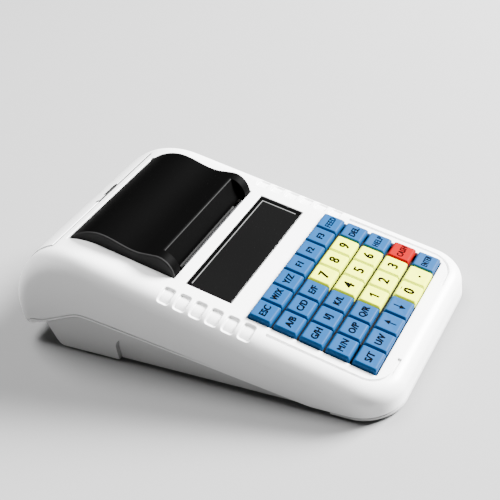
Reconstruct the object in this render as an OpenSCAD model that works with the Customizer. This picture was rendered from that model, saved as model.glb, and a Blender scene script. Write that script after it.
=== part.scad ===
// Ticket register: a compact electronic cash register with a ticket printer under a hinged cover.
// X is to the operator's right, Y is away from the operator, Z is up, and the feet rest on Z = 0.

/* [Housing] */
// Width of the top housing, mm
housing_width = 121; // [121:0.5:124]
// Thickness of the housing wall, mm
wall = 2.4; // [2.2:0.1:2.5]
// Depth of the notches across the shoulders, mm
notch_depth = 1.3; // [0.6:0.1:1.4]
// Height of the rubber feet below the base, mm
foot_height = 1.5; // [1:0.1:1.5]

/* [Keys] */
// Height of the key tops above the deck, mm
key_height = 2.9; // [2.3:0.1:3.4]
// Width of a key cap, mm
key_width = 12.6; // [11.8:0.1:12.7]
// Length of a key cap along the deck, mm
key_length = 12.2; // [11.4:0.1:12.6]

/* [Printer] */
// Width of the ticket paper, mm
paper_width = 57; // [50:1:60]
// Diameter of the paper roll, mm
roll_diameter = 42; // [30:1:42]
// Diameter of the hole through the paper roll, mm
roll_hole = 12; // [8:1:20]
// Thickness of the cover's wall, mm
cover_wall = 2.2; // [1.8:0.1:2.4]

/* [Hidden] */
$fn = 64;
// deck plane: its origin is on the deck at the rear edge of the keys
tilt = 16;
ts = sin(tilt);
tc = cos(tilt);
deck_y = -31;
deck_z = 37.8;
hw = housing_width / 2;
frame_shift = -0.55;
// posts of the key board, and the centre of the trim line's corner
post_x = hw - 7.3;
groove_x = hw - 21.9;
// rear arc and front roll of the side outline
rear_r = 46;
// the deck runs into the rear arc at this distance along it
deck_end = 86;
rear_y = deck_y + deck_end * tc + rear_r * ts;
rear_z = deck_z + deck_end * ts - rear_r * tc;
half_len = rear_y + rear_r;
front_y = -109.25;
shoulder_r = 10;
nose_r = 8;
nose_y = front_y + nose_r;
nose_z = deck_z + (nose_y - deck_y) * tan(tilt) - nose_r / tc;
corner_r = 21;
chin_r = 6;
chin_y = half_len - chin_r;
base_z = 1.5;
floor_z = 3.7;
// keys
pitch_x = 13;
pitch_y = 13.83;
travel = 1.8;
key_rows = 5;
key_cols = 7;
// opening in the deck round the keys
keypad_hw = key_cols * pitch_x / 2 + 0.2;
keypad_end = -(key_rows * pitch_y - 0.25);
keypad_start = -0.2;
// display window: half its width, front and rear, and the clearance round the lens
lens_hw = 41.15;
lens_front = 10.5;
lens_rear = 36;
lens_gap = 0.3;
// hinge of the cover and platen of the printer
hinge_y = 70.2;
hinge_z = 60.3;
platen_y = 18;
platen_z = 43.6;
platen_r = 4.75;
// side plates of the printer, and the cover round them, from the width of the paper
plate_x = paper_width / 2 + 3.9;
plate_t = 1.6;
cover_hw = plate_x + 8.9;
cheek_w = 6.5;
cover_front = 10;
// clearance between the cover and the edge of its bay
bay_gap = 0.4;
lug_x = cover_hw + 0.9;
lug_w = 4.2;
pd = sqrt(pow(platen_y - hinge_y, 2) + pow(platen_z - hinge_z, 2));
uy = (platen_y - hinge_y) / pd;
uz = (platen_z - hinge_z) / pd;
nip_y = platen_y + uy * platen_r;
nip_z = platen_z + uz * platen_r;
// gears
gm = 0.7;
teeth_platen = 14;
teeth_idler = 26;
teeth_pinion = 10;
idler_y = platen_y - uz * gm * (teeth_platen + teeth_idler) / 2;
idler_z = platen_z + uy * gm * (teeth_platen + teeth_idler) / 2;
pinion_a = 252.6;
pinion_y = idler_y + gm * (teeth_pinion + teeth_idler) / 2 * cos(pinion_a);
pinion_z = idler_z + gm * (teeth_pinion + teeth_idler) / 2 * sin(pinion_a);
gear_x = plate_x + plate_t + 0.6;
gear_w = 3;
// paper roll
roll_y = 51.5;
roll_z = 36;
bucket_r = 21.3;

// ---- helpers ----

// extrudes a (Y, Z) outline along X, centred
module prism_x(w) {
  rotate([90, 0, 90])
    linear_extrude(height = w, center = true)
      children();
}

// extrudes a (Y, Z) outline from x0 to x1
module prism_from(x0, x1) {
  translate([x0, 0, 0])
    rotate([90, 0, 90])
      linear_extrude(height = x1 - x0)
        children();
}

// puts the middle of the whole over the origin
module in_frame() {
  translate([0, frame_shift, 0])
    children();
}

module on_deck() {
  translate([0, deck_y, deck_z])
    rotate([tilt, 0, 0])
      children();
}

module box(x0, x1, y0, y1, z0, z1) {
  translate([x0, y0, z0])
    cube([x1 - x0, y1 - y0, z1 - z0]);
}

module mirrored() {
  children();
  mirror([1, 0, 0])
    children();
}

module round_square(w, h, r) {
  union() {
    square([w, h - 2 * r], center = true);
    square([w - 2 * r, h], center = true);
    for (a = [-1, 1]) {
      for (b = [-1, 1]) {
        translate([a * (w / 2 - r), b * (h / 2 - r)])
          circle(r);
      }
    }
  }
}

// ---- the body that both halves of the case are cut from ----

// height of the joint line between housing and base
function seam(y) =
  let (a = 15.2 + 0.18 * y)
  let (b = 53.2 - 0.41 * y)
  max(3, (a + b) / 2 - sqrt(pow((a - b) / 2, 2) + 1));

seam_pts = concat([for (y = [-80 : 4 : 100]) [y, seam(y)]], [[chin_y, seam(chin_y)]]);

function up(list, dz) = [for (p = list) [p[0], p[1] + dz]];

// points of an arc about (y, z) from angle a0 to a1
function arc(y, z, r, a0, a1, n) =
  [for (k = [0 : n]) [y + r * cos(a0 + (a1 - a0) * k / n), z + r * sin(a0 + (a1 - a0) * k / n)]];

// side outline of the whole case, inset by i
module side_outline(i) {
  polygon(concat(
    [[front_y + i, -5]],
    arc(nose_y, nose_z, nose_r - i, 180, 90 + tilt, 8),
    arc(rear_y, rear_z, rear_r - i, 90 + tilt, 0, 26),
    arc(chin_y, seam(chin_y) + chin_r, chin_r - i, 0, -90, 6),
    [[chin_y, -5]]));
}

// plan outline, inset by i
module plan_outline(i) {
  union() {
    translate([-(hw - i), front_y + corner_r])
      square([2 * (hw - i), half_len - front_y - corner_r - shoulder_r]);
    translate([-(hw - corner_r), front_y + i])
      square([2 * (hw - corner_r), 40]);
    translate([-(hw - shoulder_r), half_len - 40])
      square([2 * (hw - shoulder_r), 40 - i]);
    for (s = [-1, 1]) {
      translate([s * (hw - corner_r), front_y + corner_r])
        circle(corner_r - i);
      translate([s * (hw - shoulder_r), half_len - shoulder_r])
        circle(shoulder_r - i);
    }
  }
}

// long bar with rolled upper edges, inset by i, that stands r clear of the flat top and sides it rounds
module shoulder_bar(i, r) {
  bw = hw + r;
  rotate([90, 0, 0])
    linear_extrude(height = 500, center = true)
      union() {
        translate([-(bw - shoulder_r), -150])
          square([2 * (bw - shoulder_r), 150 + r - i]);
        translate([-(bw - i), -150])
          square([2 * (bw - i), 150 + r - shoulder_r]);
        for (s = [-1, 1]) {
          translate([s * (bw - shoulder_r), r - shoulder_r])
            circle(shoulder_r - i);
        }
      }
}

// rolled shoulders along the deck and down the rear arc, inset by i
module shoulder_body(i) {
  intersection() {
    on_deck()
      shoulder_bar(i, 0.15);
    translate([0, rear_y, rear_z])
      rotate([-37, 0, 0])
        translate([0, 0, rear_r])
          shoulder_bar(i, 0.3);
  }
}

module case_body(i) {
  intersection() {
    prism_x(200)
      side_outline(i);
    translate([0, 0, -5])
      linear_extrude(height = 90)
        plan_outline(i);
    shoulder_body(i);
  }
}

// rear panel: half its width, its two angles from the vertical, and its front edge
panel_hw = hw - 12.5;
panel_a0 = 18;
panel_a1 = 62;
panel_y = rear_y + rear_r * sin(panel_a0);
pin_length = 2 * (lug_x + lug_w) - 0.6;

// ---- top housing ----

module notches() {
  difference() {
    on_deck()
      for (k = [0 : 5]) {
        for (s = [-1, 1]) {
          translate([s * (hw - 7.6), 40.1 - 8.96 * k, -7])
            linear_extrude(height = 9)
              round_square(9, 6.4, 1.4);
        }
      }
    shoulder_body(notch_depth);
  }
}

module trim_groove() {
  on_deck()
    mirrored() {
      box(groove_x + 11.6, groove_x + 12.4, -62.5, -13.5, -0.5, 1);
      box(groove_x - 9.1, groove_x, -74.9, -74.1, -0.5, 1);
      translate([groove_x, -62.5, -0.5])
        linear_extrude(height = 1.5)
          intersection() {
            difference() {
              circle(12.4);
              circle(11.6);
            }
            translate([0, -20])
              square([20, 20]);
          }
    }
}

screw_front = hw - 20.5;
screw_rear = hw - 14.5;
screw_pts = [[-screw_front, -102.3], [screw_front, -102.3], [-screw_rear, 71], [screw_rear, 71]];

module top_housing() {
  color("white")
    in_frame()
    difference() {
      union() {
        difference() {
          case_body(0);
          difference() {
            case_body(wall);
            // the overhang behind the base keeps a floor of its own
            prism_x(200)
              polygon([[87, -20], [87, seam(87) + wall], [100, seam(100) + wall],
                [chin_y, seam(chin_y) + wall], [120, seam(chin_y) + wall], [120, -20]]);
          }
        }
        intersection() {
          case_body(wall / 2);
          union() {
            // screw bosses
            for (p = screw_pts) {
              translate([p[0], p[1], p[1] < 0 ? 6.5 : 20])
                cylinder(h = 60, r = p[1] < 0 ? 3.2 : 3.6);
            }
            // posts for the key board
            on_deck()
              for (s = [-1, 1]) {
                for (y = [-60, -2]) {
                  translate([s * post_x, y, -8.2])
                    cylinder(h = 8, r = 2.4);
                  translate([s * post_x, y, -10.4])
                    cylinder(h = 3, r = 1);
                }
              }
            // lugs that hold the hinge pin
            mirrored()
              translate([lug_x, hinge_y, hinge_z])
                rotate([0, 90, 0])
                  cylinder(h = lug_w, r = 4.2);
          }
        }
      }
      // everything below the joint line belongs to the base
      prism_x(200)
        polygon(concat([[-130, -20], [-130, 3]], seam_pts, [[chin_y, -20]]));
      // keypad opening and display window
      on_deck()
        box(-keypad_hw, keypad_hw, keypad_end, keypad_start, -20, 5);
      on_deck()
        box(-lens_hw - lens_gap, lens_hw + lens_gap, lens_front - lens_gap, lens_rear + lens_gap, -12, 5);
      // printer bay
      box(-cover_hw - bay_gap, cover_hw + bay_gap, cover_front - 0.05, hinge_y + 3.6, 40, 90);
      notches();
      trim_groove();
      // recess for the rear panel
      rear_sector(panel_hw + 0.3, rear_r - 1, rear_r + 3, panel_a0 - 0.4, panel_a1 + 0.4);
      // bores for the hinge pin
      translate([0, hinge_y, hinge_z])
        rotate([0, 90, 0])
          cylinder(h = pin_length + 1.2, r = 1.52, center = true);
      // pilot holes
      for (p = screw_pts) {
        translate([p[0], p[1], p[1] < 0 ? 0 : 10])
          cylinder(h = p[1] < 0 ? 13 : 30, r = 1.42);
      }
    }
}

// a band of the rear arc between two angles from the vertical
module rear_sector(x, r0, r1, a0, a1) {
  translate([0, rear_y, rear_z])
    prism_x(2 * x)
      intersection() {
        difference() {
          circle(r1, $fn = 128);
          circle(r0, $fn = 128);
        }
        polygon([[0, 0], [90 * sin(a0), 90 * cos(a0)],
          [90 * sin((a0 + a1) / 2), 90 * cos((a0 + a1) / 2)], [90 * sin(a1), 90 * cos(a1)]]);
      }
}

module rear_panel() {
  color("lightgray")
    in_frame()
    difference() {
      rear_sector(panel_hw, rear_r - 0.9, rear_r + 0.5, panel_a0, panel_a1);
      // finger slot and release hole near its front edge
      box(1.5, 13, panel_y + 0.54, panel_y + 1.84, rear_z, rear_z + 2 * rear_r);
      translate([-5.5, panel_y + 1.44, rear_z])
        cylinder(h = 2 * rear_r, r = 0.9);
    }
}

// ---- base ----

// clearance between housing and base along the joint line
seam_gap = 0.25;
// rear face of the base, at the joint line
base_back = half_len - 21.35;

// fixing points of the main board
board_hw = hw - 10.5;
board_pts = [[5 - board_hw, -46], [board_hw - 5, -46], [5 - board_hw, -4], [board_hw - 5, -4],
  [-17, 74], [17, 74]];

module base_side(top, back) {
  polygon(concat(
    [[-130, base_z], [back - 7.2, base_z], [back - 5.2, base_z + 1.2], [back - 3.6, base_z + 4.2],
      [back, seam(back) - seam_gap]],
    [for (k = [len(seam_pts) - 1 : -1 : 0])
      if (seam_pts[k][0] < back)
        [seam_pts[k][0], seam_pts[k][1] + (seam_pts[k][0] > back - 6 ? -seam_gap : top)]],
    [[-130, 3 + top]]));
}

module base_tray() {
  color("white")
    in_frame()
    difference() {
      union() {
        difference() {
          union() {
            // body that nests inside the housing
            intersection() {
              linear_extrude(height = 60)
                plan_outline(wall + 0.3);
              box(-100, 100, -105.7, 100, 0, 60);
              prism_x(200)
                base_side(2, base_back);
            }
            // wider block at the rear, with the arched step
            intersection() {
              linear_extrude(height = 60)
                plan_outline(0.5);
              prism_x(200)
                difference() {
                  base_side(-seam_gap, base_back);
                  union() {
                    translate([-150, -20])
                      square([186, 36.8]);
                    translate([30, -20])
                      square([14, 28.8]);
                    translate([36, 8.8])
                      circle(8);
                  }
                }
            }
            // rim under the front edge of the housing
            intersection() {
              translate([0, 0, base_z])
                linear_extrude(height = 1.25)
                  plan_outline(0.4);
              box(-100, 100, -120, -78, 0, 10);
            }
          }
          // inside
          intersection() {
            translate([0, 0, floor_z])
              linear_extrude(height = 60)
                plan_outline(wall + 2.7);
            prism_x(200)
              polygon([[-130, floor_z], [79.8, floor_z], [83, 5.9], [86.4, 17], [86.4, 60], [-130, 60]]);
          }
        }
        // screw bosses
        for (p = screw_pts) {
          translate([p[0], p[1], base_z])
            cylinder(h = (p[1] < 0 ? 6.5 : 20) - base_z, r = p[1] < 0 ? 3.9 : 4.4);
        }
        // posts for the main board
        for (p = board_pts) {
          translate([p[0], p[1], base_z + 1])
            cylinder(h = 4.5 - base_z, r = 3);
          translate([p[0], p[1], base_z + 1])
            cylinder(h = 6, r = 1.2);
        }
        // ledges under the battery pack
        mirrored()
          box(27, 31, 76.5, 84, base_z + 1, 20);
      }
      // screw holes, counterbored from below
      for (p = screw_pts) {
        translate([p[0], p[1], 0])
          cylinder(h = 40, r = 1.6);
        translate([p[0], p[1], 0])
          cylinder(h = p[1] < 0 ? 3.7 : 12, r = 3.2);
      }
      // foot recesses
      for (p = foot_pts) {
        translate([p[0], p[1], 0])
          cylinder(h = base_z + 0.4, r = 6.2);
      }
      // opening for the ports
      box(-18.4, 18.4, 80, 95, 6.8, 13.4);
      // label recess in the underside
      box(-25, 25, -20, 15, 0, base_z + 0.3);
      // cooling slots
      for (k = [0 : 5]) {
        box(-15, 15, -62 + 5 * k, -60 + 5 * k, 0, 10);
      }
    }
}

foot_x = hw - 16.5;
foot_pts = [[-foot_x, -72], [foot_x, -72], [-foot_x, 59], [foot_x, 59]];

module feet() {
  color("dimgray")
    in_frame()
    for (p = foot_pts) {
      translate([p[0], p[1], base_z - foot_height])
        cylinder(h = foot_height + 0.4, r = 6);
    }
}

module case_screws() {
  color("silver")
    in_frame()
    for (p = screw_pts) {
      z = p[1] < 0 ? 3.7 : 12;
      translate([p[0], p[1], z - 1.8])
        difference() {
          union() {
            cylinder(h = 1.8, r = 2.9);
            translate([0, 0, 1])
              cylinder(h = 9.5, r = 1.4);
          }
          // cross recess
          box(-1.5, 1.5, -0.3, 0.3, -1, 1.1);
          box(-0.3, 0.3, -1.5, 1.5, -1, 1.1);
        }
    }
}

// ---- printer cover ----

function cover_top(y) =
  y < 19.3 ? 50.6 + 10.4 * sqrt(max(0, 1 - pow((19.3 - y) / 9.3, 2))) :
  y < 27 ? 61 :
  y < 54 ? 61 + 7.7 * (0.5 - 0.5 * cos(180 * (y - 27) / 27)) :
  68.7 - 0.0187 * pow(y - 54, 2);

cover_ys = concat([for (a = [0 : 10 : 80]) 19.3 - 9.3 * cos(a)], [for (y = [19.3 : 1.925 : 27]) y],
  [for (y = [28.5 : 1.5 : 54]) y], [for (y = [56 : 2 : 70]) y]);

function deck_at(y, d) = deck_z + (y - deck_y) * tan(tilt) - d / tc;

module cover_outline(i) {
  polygon(concat(
    [[cover_front + i, deck_at(cover_front, 3)]],
    [for (y = cover_ys) [max(y, cover_front + i), cover_top(y) - i]],
    [[hinge_y, hinge_z + 2.9 - i], [hinge_y, hinge_z], [66, deck_at(58, 3.5)], [58, deck_at(58, 3.5)],
      [30, deck_at(30, 3.5)]]));
}

module printer_cover() {
  color("black")
    in_frame()
    difference() {
      union() {
        difference() {
          intersection() {
            prism_x(2 * cover_hw)
              cover_outline(0);
            translate([0, hinge_y, hinge_z])
              rotate([0, 90, 0])
                cylinder(h = 100, r = 60.7, center = true, $fn = 256);
          }
          // inside of the shell
          intersection() {
            prism_x(2 * (cover_hw - cover_wall))
              cover_outline(cover_wall);
            prism_x(100)
              polygon([[15.9, 30], [15.9, 50], [19, 61], [19, 90], [66.6, 90], [66.6, 30]]);
          }
          prism_x(2 * (cover_hw - cover_wall))
            polygon([[15.9, 30], [15.9, 51], [66.6, 57.4], [66.6, 30]]);
          // sloping face between the two end cheeks, where the paper comes out
          prism_x(2 * (cover_hw - cheek_w))
            polygon([[0, 30], [22, 30], [22, 48.8], [13.4, 48.8], [13.5, 50.5], [16.9, 60.4], [16.9, 62],
              [16, 90], [0, 90]]);
        }
        // hinge barrel
        translate([0, hinge_y, hinge_z])
          rotate([0, 90, 0])
            cylinder(h = 2 * cover_hw, r = 2.9, center = true);
        // ears that carry the platen roller
        mirrored()
          prism_from(cover_hw - cover_wall, cover_hw)
            union() {
              polygon([[platen_y - 4, platen_z], [platen_y - 5.4, 52], [platen_y + 8, 54],
                [platen_y + 4, platen_z]]);
              translate([platen_y, platen_z])
                circle(4);
            }
      }
      translate([0, hinge_y, hinge_z])
        rotate([0, 90, 0])
          cylinder(h = 100, r = 1.56, center = true);
      translate([0, platen_y, platen_z])
        rotate([0, 90, 0])
          cylinder(h = 100, r = 1.56, center = true);
      // room for the platen gear
      translate([gear_x - 0.6, platen_y, platen_z])
        rotate([0, 90, 0])
          cylinder(h = gear_w + 1.2, r = 6.3);
    }
}

module hinge_pin() {
  color("silver")
    in_frame()
    translate([0, hinge_y, hinge_z])
      rotate([0, 90, 0])
        cylinder(h = pin_length, r = 1.5, center = true);
}

// ---- printer ----

// involute flank point at radius r of a gear with pitch radius rp
function inv(a) = tan(a) * 180 / PI - a;
function flank(r, rp, n) =
  let (rb = rp * cos(20))
  let (a = r > rb ? acos(rb / r) : 0)
  90 / n * 0.94 + inv(20) - inv(a);

module gear(n, r_bore, phase) {
  rp = gm * n / 2;
  ra = rp + 0.9 * gm;
  rf = rp - 1.15 * gm;
  rs = [rf, max(rf + 0.05, rp * cos(20)), rp - 0.25 * gm, rp, rp + 0.45 * gm, ra];
  rotate([phase, 0, 0])
    prism_x(gear_w)
      difference() {
        polygon([for (k = [0 : n - 1])
          for (j = [0 : 11])
            let (r = j < 6 ? rs[j] : rs[11 - j])
            let (s = j < 6 ? -1 : 1)
            let (a = 360 * k / n + s * flank(r, rp, n))
            [r * cos(a), r * sin(a)]]);
        if (r_bore > 0) {
          circle(r_bore);
        }
      }
}

// a gear's tooth points at angle 0 in (Y, Z); these put teeth and gaps opposite each other
dir_pi = atan2(idler_z - platen_z, idler_y - platen_y);
phase_platen = dir_pi;
phase_idler = dir_pi + 180 + 180 / teeth_idler;
tooth_i = (pinion_a - phase_idler) / (360 / teeth_idler);
frac_i = tooth_i - floor(tooth_i);
phase_pinion = pinion_a + 180 + (0.5 + frac_i) * 360 / teeth_pinion;

module platen_roller() {
  color("dimgray")
    in_frame()
    translate([0, platen_y, platen_z])
      rotate([0, 90, 0])
        union() {
          cylinder(h = paper_width + 0.6, r = platen_r, center = true);
          cylinder(h = 2 * (cover_hw - 0.3), r = 1.5, center = true);
        }
}

module platen_gear() {
  color("ivory")
    in_frame()
    translate([gear_x + gear_w / 2, platen_y, platen_z])
      gear(teeth_platen, 1.52, phase_platen);
}

module idler_gear() {
  color("ivory")
    in_frame()
    translate([gear_x + gear_w / 2, idler_y, idler_z])
      difference() {
        gear(teeth_idler, 1.26, phase_idler);
        // web thinned on the outer side
        translate([0.7, 0, 0])
          rotate([0, 90, 0])
            difference() {
              cylinder(h = 3, r = 6.8);
              cylinder(h = 3, r = 2.6);
            }
      }
}

module motor_pinion() {
  color("goldenrod")
    in_frame()
    union() {
      translate([gear_x + gear_w / 2, pinion_y, pinion_z])
        gear(teeth_pinion, 0, phase_pinion);
      translate([gear_x - 6, pinion_y, pinion_z])
        rotate([0, 90, 0])
          cylinder(h = 8, r = 1);
    }
}

module print_motor() {
  color("silver")
    in_frame()
    difference() {
      union() {
        translate([plate_x - 14, pinion_y, pinion_z])
          rotate([0, 90, 0])
            cylinder(h = 13.7, r = 7.4);
        // mounting flange
        box(plate_x - 1, plate_x, pinion_y - 5, pinion_y + 9.4, pinion_z - 4, pinion_z + 4);
        // lead block
        box(plate_x - 12.4, plate_x - 6.4, pinion_y - 4, pinion_y + 4, pinion_z - 8.4, pinion_z - 6);
      }
      translate([plate_x - 4.4, pinion_y, pinion_z])
        rotate([0, 90, 0])
          cylinder(h = 10, r = 1.06);
    }
}

module frame_plate() {
  difference() {
    polygon([[5, floor_z], [5, 37], [9.4, 43.6], [11, 46.4], [26, 46.4], [28, 42], [28, floor_z]]);
    // notch that takes the platen shaft as the cover closes
    translate([platen_y, platen_z])
      union() {
        circle(1.7);
        polygon([[1.7 * uy, 1.7 * uz], [1.7 * uy + 9 * uz, 1.7 * uz - 9 * uy],
          [-1.9 * uy + 9 * uz, -1.9 * uz - 9 * uy], [-1.7 * uy, -1.7 * uz]]);
      }
    // room for the battery lead and the motor lead
    translate([10, 8])
      circle(2.2);
  }
}

module printer_frame() {
  color("dimgray")
    in_frame()
    difference() {
      union() {
        mirrored()
          prism_from(plate_x, plate_x + plate_t)
            frame_plate();
        // front wall and bottom beam
        box(-plate_x - 0.6, plate_x + 0.6, 5, 6.5, 27, 37);
        box(-plate_x - 0.6, plate_x + 0.6, 5, 27, 27, 28.4);
        // ledge behind the head
        prism_x(2 * plate_x + 1.2)
          polygon([[nip_y + 4 * uy - 5.5 * uz, nip_z + 4 * uz + 5.5 * uy],
            [nip_y + 4 * uy - 0.5 * uz, nip_z + 4 * uz + 0.5 * uy],
            [6, 36.8], [6, 31]]);
        // stud for the idler gear
        translate([plate_x + 0.6, idler_y, idler_z])
          rotate([0, 90, 0])
            cylinder(h = 5.2, r = 1.2);
      }
      // hole for the motor shaft
      translate([plate_x - 2.4, pinion_y, pinion_z])
        rotate([0, 90, 0])
          cylinder(h = 6, r = 2);
    }
}

head_hw = plate_x - 1.4;

// the ceramic head and its heat sink lie against the platen
module print_head() {
  color("gray")
    in_frame()
    translate([0, nip_y, nip_z])
      rotate([atan2(uz, uy) - 180, 0, 0])
        union() {
          // along the local -Y axis is away from the platen
          box(-head_hw + 1.5, head_hw - 1.5, -1.3, -0.3, -5.5, 3.4);
          box(-head_hw, head_hw, -4, -1.3, -5.5, 3);
          for (k = [0 : 11]) {
            box((k - 5.8) * head_hw / 6.2, (k - 5.8) * head_hw / 6.2 + 1.5, -4, -3, -7.5, -5.5);
          }
        }
}

module tear_bar() {
  color("silver")
    in_frame()
    translate([0, 10.4, 0])
      rotate([90, 0, 0])
        linear_extrude(height = 0.4)
          polygon(concat([[-head_hw, 46.4]],
            [for (k = [0 : 80]) [head_hw * (k / 40 - 1), k % 2 == 0 ? 49.8 : 50.5]],
            [[head_hw, 46.4]]));
}

module paper_roll() {
  color("white")
    in_frame()
    translate([0, roll_y, roll_z])
      rotate([0, 90, 0])
        difference() {
          cylinder(h = paper_width, r = roll_diameter / 2, center = true, $fn = 128);
          cylinder(h = paper_width + 3, r = roll_hole / 2, center = true);
        }
}

module bucket_outline(r) {
  union() {
    translate([roll_y, roll_z])
      circle(r, $fn = 128);
    translate([roll_y - r, roll_z])
      square([2 * r, 30]);
  }
}

bucket_hw = paper_width / 2 + 1.9;

module paper_bucket() {
  color("dimgray")
    in_frame()
    union() {
      difference() {
        union() {
          prism_x(2 * (bucket_hw + 1.6))
            bucket_outline(bucket_r + 1.6);
          // side shelves and outer walls that close the bay
          mirrored()
            prism_from(bucket_hw + 0.6, lug_x + 1.5)
              polygon([[31, 43.4], [31, 44.8], [64, 44.8], [64, 43.4]]);
          mirrored()
            prism_from(lug_x, lug_x + 1.5)
              polygon([[31, 43.4], [31, deck_at(31, wall + 0.3)], [64, deck_at(56, wall + 0.3)],
                [64, 43.4]]);
          // legs down to the base
          mirrored()
            box(24, 28, 44, 60, floor_z, 24);
        }
        prism_x(2 * bucket_hw)
          bucket_outline(bucket_r);
        // the side walls drop with the deck, and the front wall lets the paper over it
        prism_x(2 * bucket_hw + 9.2)
          polygon([[0, 41], [31, 41], [31, 47], [66, 55], [90, 55], [90, 90], [0, 90]]);
        // inspection slot for the end of the paper
        box(8, 16, 20, 40, 30, 36);
      }
    }
}

// ---- display ----

module display_lens() {
  color("black", 0.8)
    in_frame()
    on_deck()
      box(-lens_hw, lens_hw, lens_front, lens_rear, -1.8, -0.3);
}

module lcd_module() {
  color("gray")
    in_frame()
    on_deck()
      union() {
        // bezel with the glass inside it
        difference() {
          box(-lens_hw + 0.25, lens_hw - 0.25, lens_front + 0.3, lens_rear - 0.3, -3, -1.8);
          box(-36, 36, 14, 32.5, -2.3, 0);
        }
        box(-45, 45, 8.6, 37.6, -5.4, -2.4);
        // its board
        box(-46, 46, 8.2, 37.6, -6.4, -5);
      }
}

// ---- keypad ----

module at_keys() {
  for (r = [0 : key_rows - 1]) {
    for (c = [0 : key_cols - 1]) {
      translate([(c - 3) * pitch_x, -(r + 0.5) * pitch_y, 0])
        children();
    }
  }
}

guide_hw = keypad_hw + 2.1;
guide_end = keypad_end - 2.1;
guide_start = keypad_start + 2.6;

module key_guide() {
  color("black")
    in_frame()
    on_deck()
      difference() {
        union() {
          box(-guide_hw, guide_hw, guide_end, guide_start, -5.8, -4.2);
          difference() {
            box(-guide_hw, guide_hw, guide_end, guide_start, -5.8, -wall);
            box(1.6 - guide_hw, guide_hw - 1.6, guide_end + 1.6, guide_start - 2, -9, 0);
          }
        }
        at_keys()
          translate([0, 0, -5])
            cube([4.7, 4.7, 6], center = true);
      }
}

module key_mat() {
  color("gray")
    in_frame()
    on_deck()
      difference() {
        union() {
          box(-keypad_hw - 1.3, keypad_hw + 1.3, keypad_end - 1.1, keypad_start + 1.6, -8.2, -7);
          at_keys()
            translate([0, 0, -7.2])
              cylinder(h = 1.1, r = 4.6, $fn = 24);
        }
        at_keys()
          translate([0, 0, -9])
            cylinder(h = 4, r = 3.6, $fn = 24);
      }
}

module key_board() {
  color("green")
    in_frame()
    on_deck()
      difference() {
        union() {
          box(4.5 - hw, hw - 4.5, -68, 4.6, -9.8, -8.2);
          // cable connector under its rear edge
          box(-14, 14, -3, 3, -13, -9.8);
        }
        for (s = [-1, 1]) {
          for (y = [-60, -2]) {
            translate([s * post_x, y, -12])
              cylinder(h = 8, r = 1.1);
          }
        }
      }
}

module main_board() {
  color("green")
    in_frame()
    difference() {
      union() {
        box(-board_hw, board_hw, -50, 2, 5.5, 7.1);
        box(-22, 22, 2, base_back - 7, 5.5, 7.1);
        // processor, memory module, cable connectors, buzzer, capacitors
        box(-8, 8, -30, -14, 7.1, 8.9);
        box(18, 40, -34, -22, 7.1, 10);
        box(-14, 14, -46, -40, 7.1, 12);
        box(-36, -20, -10, -4, 7.1, 12);
        translate([30, -8, 7.1])
          cylinder(h = 6, r = 5);
        translate([-36, -30, 7.1])
          cylinder(h = 10, r = 4);
        translate([-26, -30, 7.1])
          cylinder(h = 8, r = 3.2);
      }
      for (p = board_pts) {
        translate([p[0], p[1], 0])
          cylinder(h = 20, r = 1.3);
      }
    }
}

module port_block() {
  color("black")
    in_frame()
    difference() {
      box(-18, 18, 76.5, 86.6, 7.1, 13.1);
      // two data sockets and the power inlet
      box(-14, -6, 80, 90, 8.6, 11.6);
      box(-2, 6, 80, 90, 8.6, 11.6);
      translate([12, 79, 10.1])
        rotate([-90, 0, 0])
          difference() {
            cylinder(h = 10, r = 1.8);
            cylinder(h = 6.5, r = 0.5);
          }
    }
}

module battery_pack() {
  color("navy")
    in_frame()
    translate([0, 86, 33.5])
      rotate([90, 0, 90])
        linear_extrude(height = 68, center = true)
          round_square(17.5, 26.9, 4);
}

// ---- key caps ----

module key_cap(c, r) {
  on_deck()
    translate([(c - 3) * pitch_x, -(r + 0.5) * pitch_y, 0])
      union() {
        intersection() {
          rotate([90, 0, 0])
            linear_extrude(height = 20, center = true)
              cap_outline(key_width);
          rotate([90, 0, 90])
            linear_extrude(height = 20, center = true)
              cap_outline(key_length);
        }
        translate([0, 0, -3.35])
          cube([4.6, 4.6, 5.9], center = true);
      }
}

module cap_outline(w) {
  polygon([[-w / 2, -1.2], [-w / 2, key_height - 1.1], [-w / 2 + 0.9, key_height],
    [w / 2 - 0.9, key_height], [w / 2, key_height - 1.1], [w / 2, -1.2]]);
}

module blue_key(c, r) {
  color("steelblue")
    in_frame()
    key_cap(c, r);
}

module yellow_key(c, r) {
  color("khaki")
    in_frame()
    key_cap(c, r);
}

module red_key(c, r) {
  color("red")
    in_frame()
    key_cap(c, r);
}

top_housing();
base_tray();
printer_cover();
hinge_pin();
paper_bucket();
printer_frame();
print_head();
platen_roller();
platen_gear();
idler_gear();
motor_pinion();
print_motor();
tear_bar();
paper_roll();
display_lens();
lcd_module();
key_guide();
key_mat();
key_board();
main_board();
port_block();
battery_pack();
rear_panel();
case_screws();
feet();
blue_key(0, 0);  // key_esc
blue_key(1, 0);  // key_wx
blue_key(2, 0);  // key_yz
blue_key(3, 0);  // key_f1
blue_key(4, 0);  // key_f2
blue_key(5, 0);  // key_f3
blue_key(6, 0);  // key_feed
blue_key(0, 1);  // key_ab
blue_key(1, 1);  // key_cd
blue_key(2, 1);  // key_ef
yellow_key(3, 1);  // key_7
yellow_key(4, 1);  // key_8
yellow_key(5, 1);  // key_9
blue_key(6, 1);  // key_del
blue_key(0, 2);  // key_gh
blue_key(1, 2);  // key_ij
blue_key(2, 2);  // key_kl
yellow_key(3, 2);  // key_4
yellow_key(4, 2);  // key_5
yellow_key(5, 2);  // key_6
blue_key(6, 2);  // key_help
blue_key(0, 3);  // key_mn
blue_key(1, 3);  // key_op
blue_key(2, 3);  // key_qr
yellow_key(3, 3);  // key_1
yellow_key(4, 3);  // key_2
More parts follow.
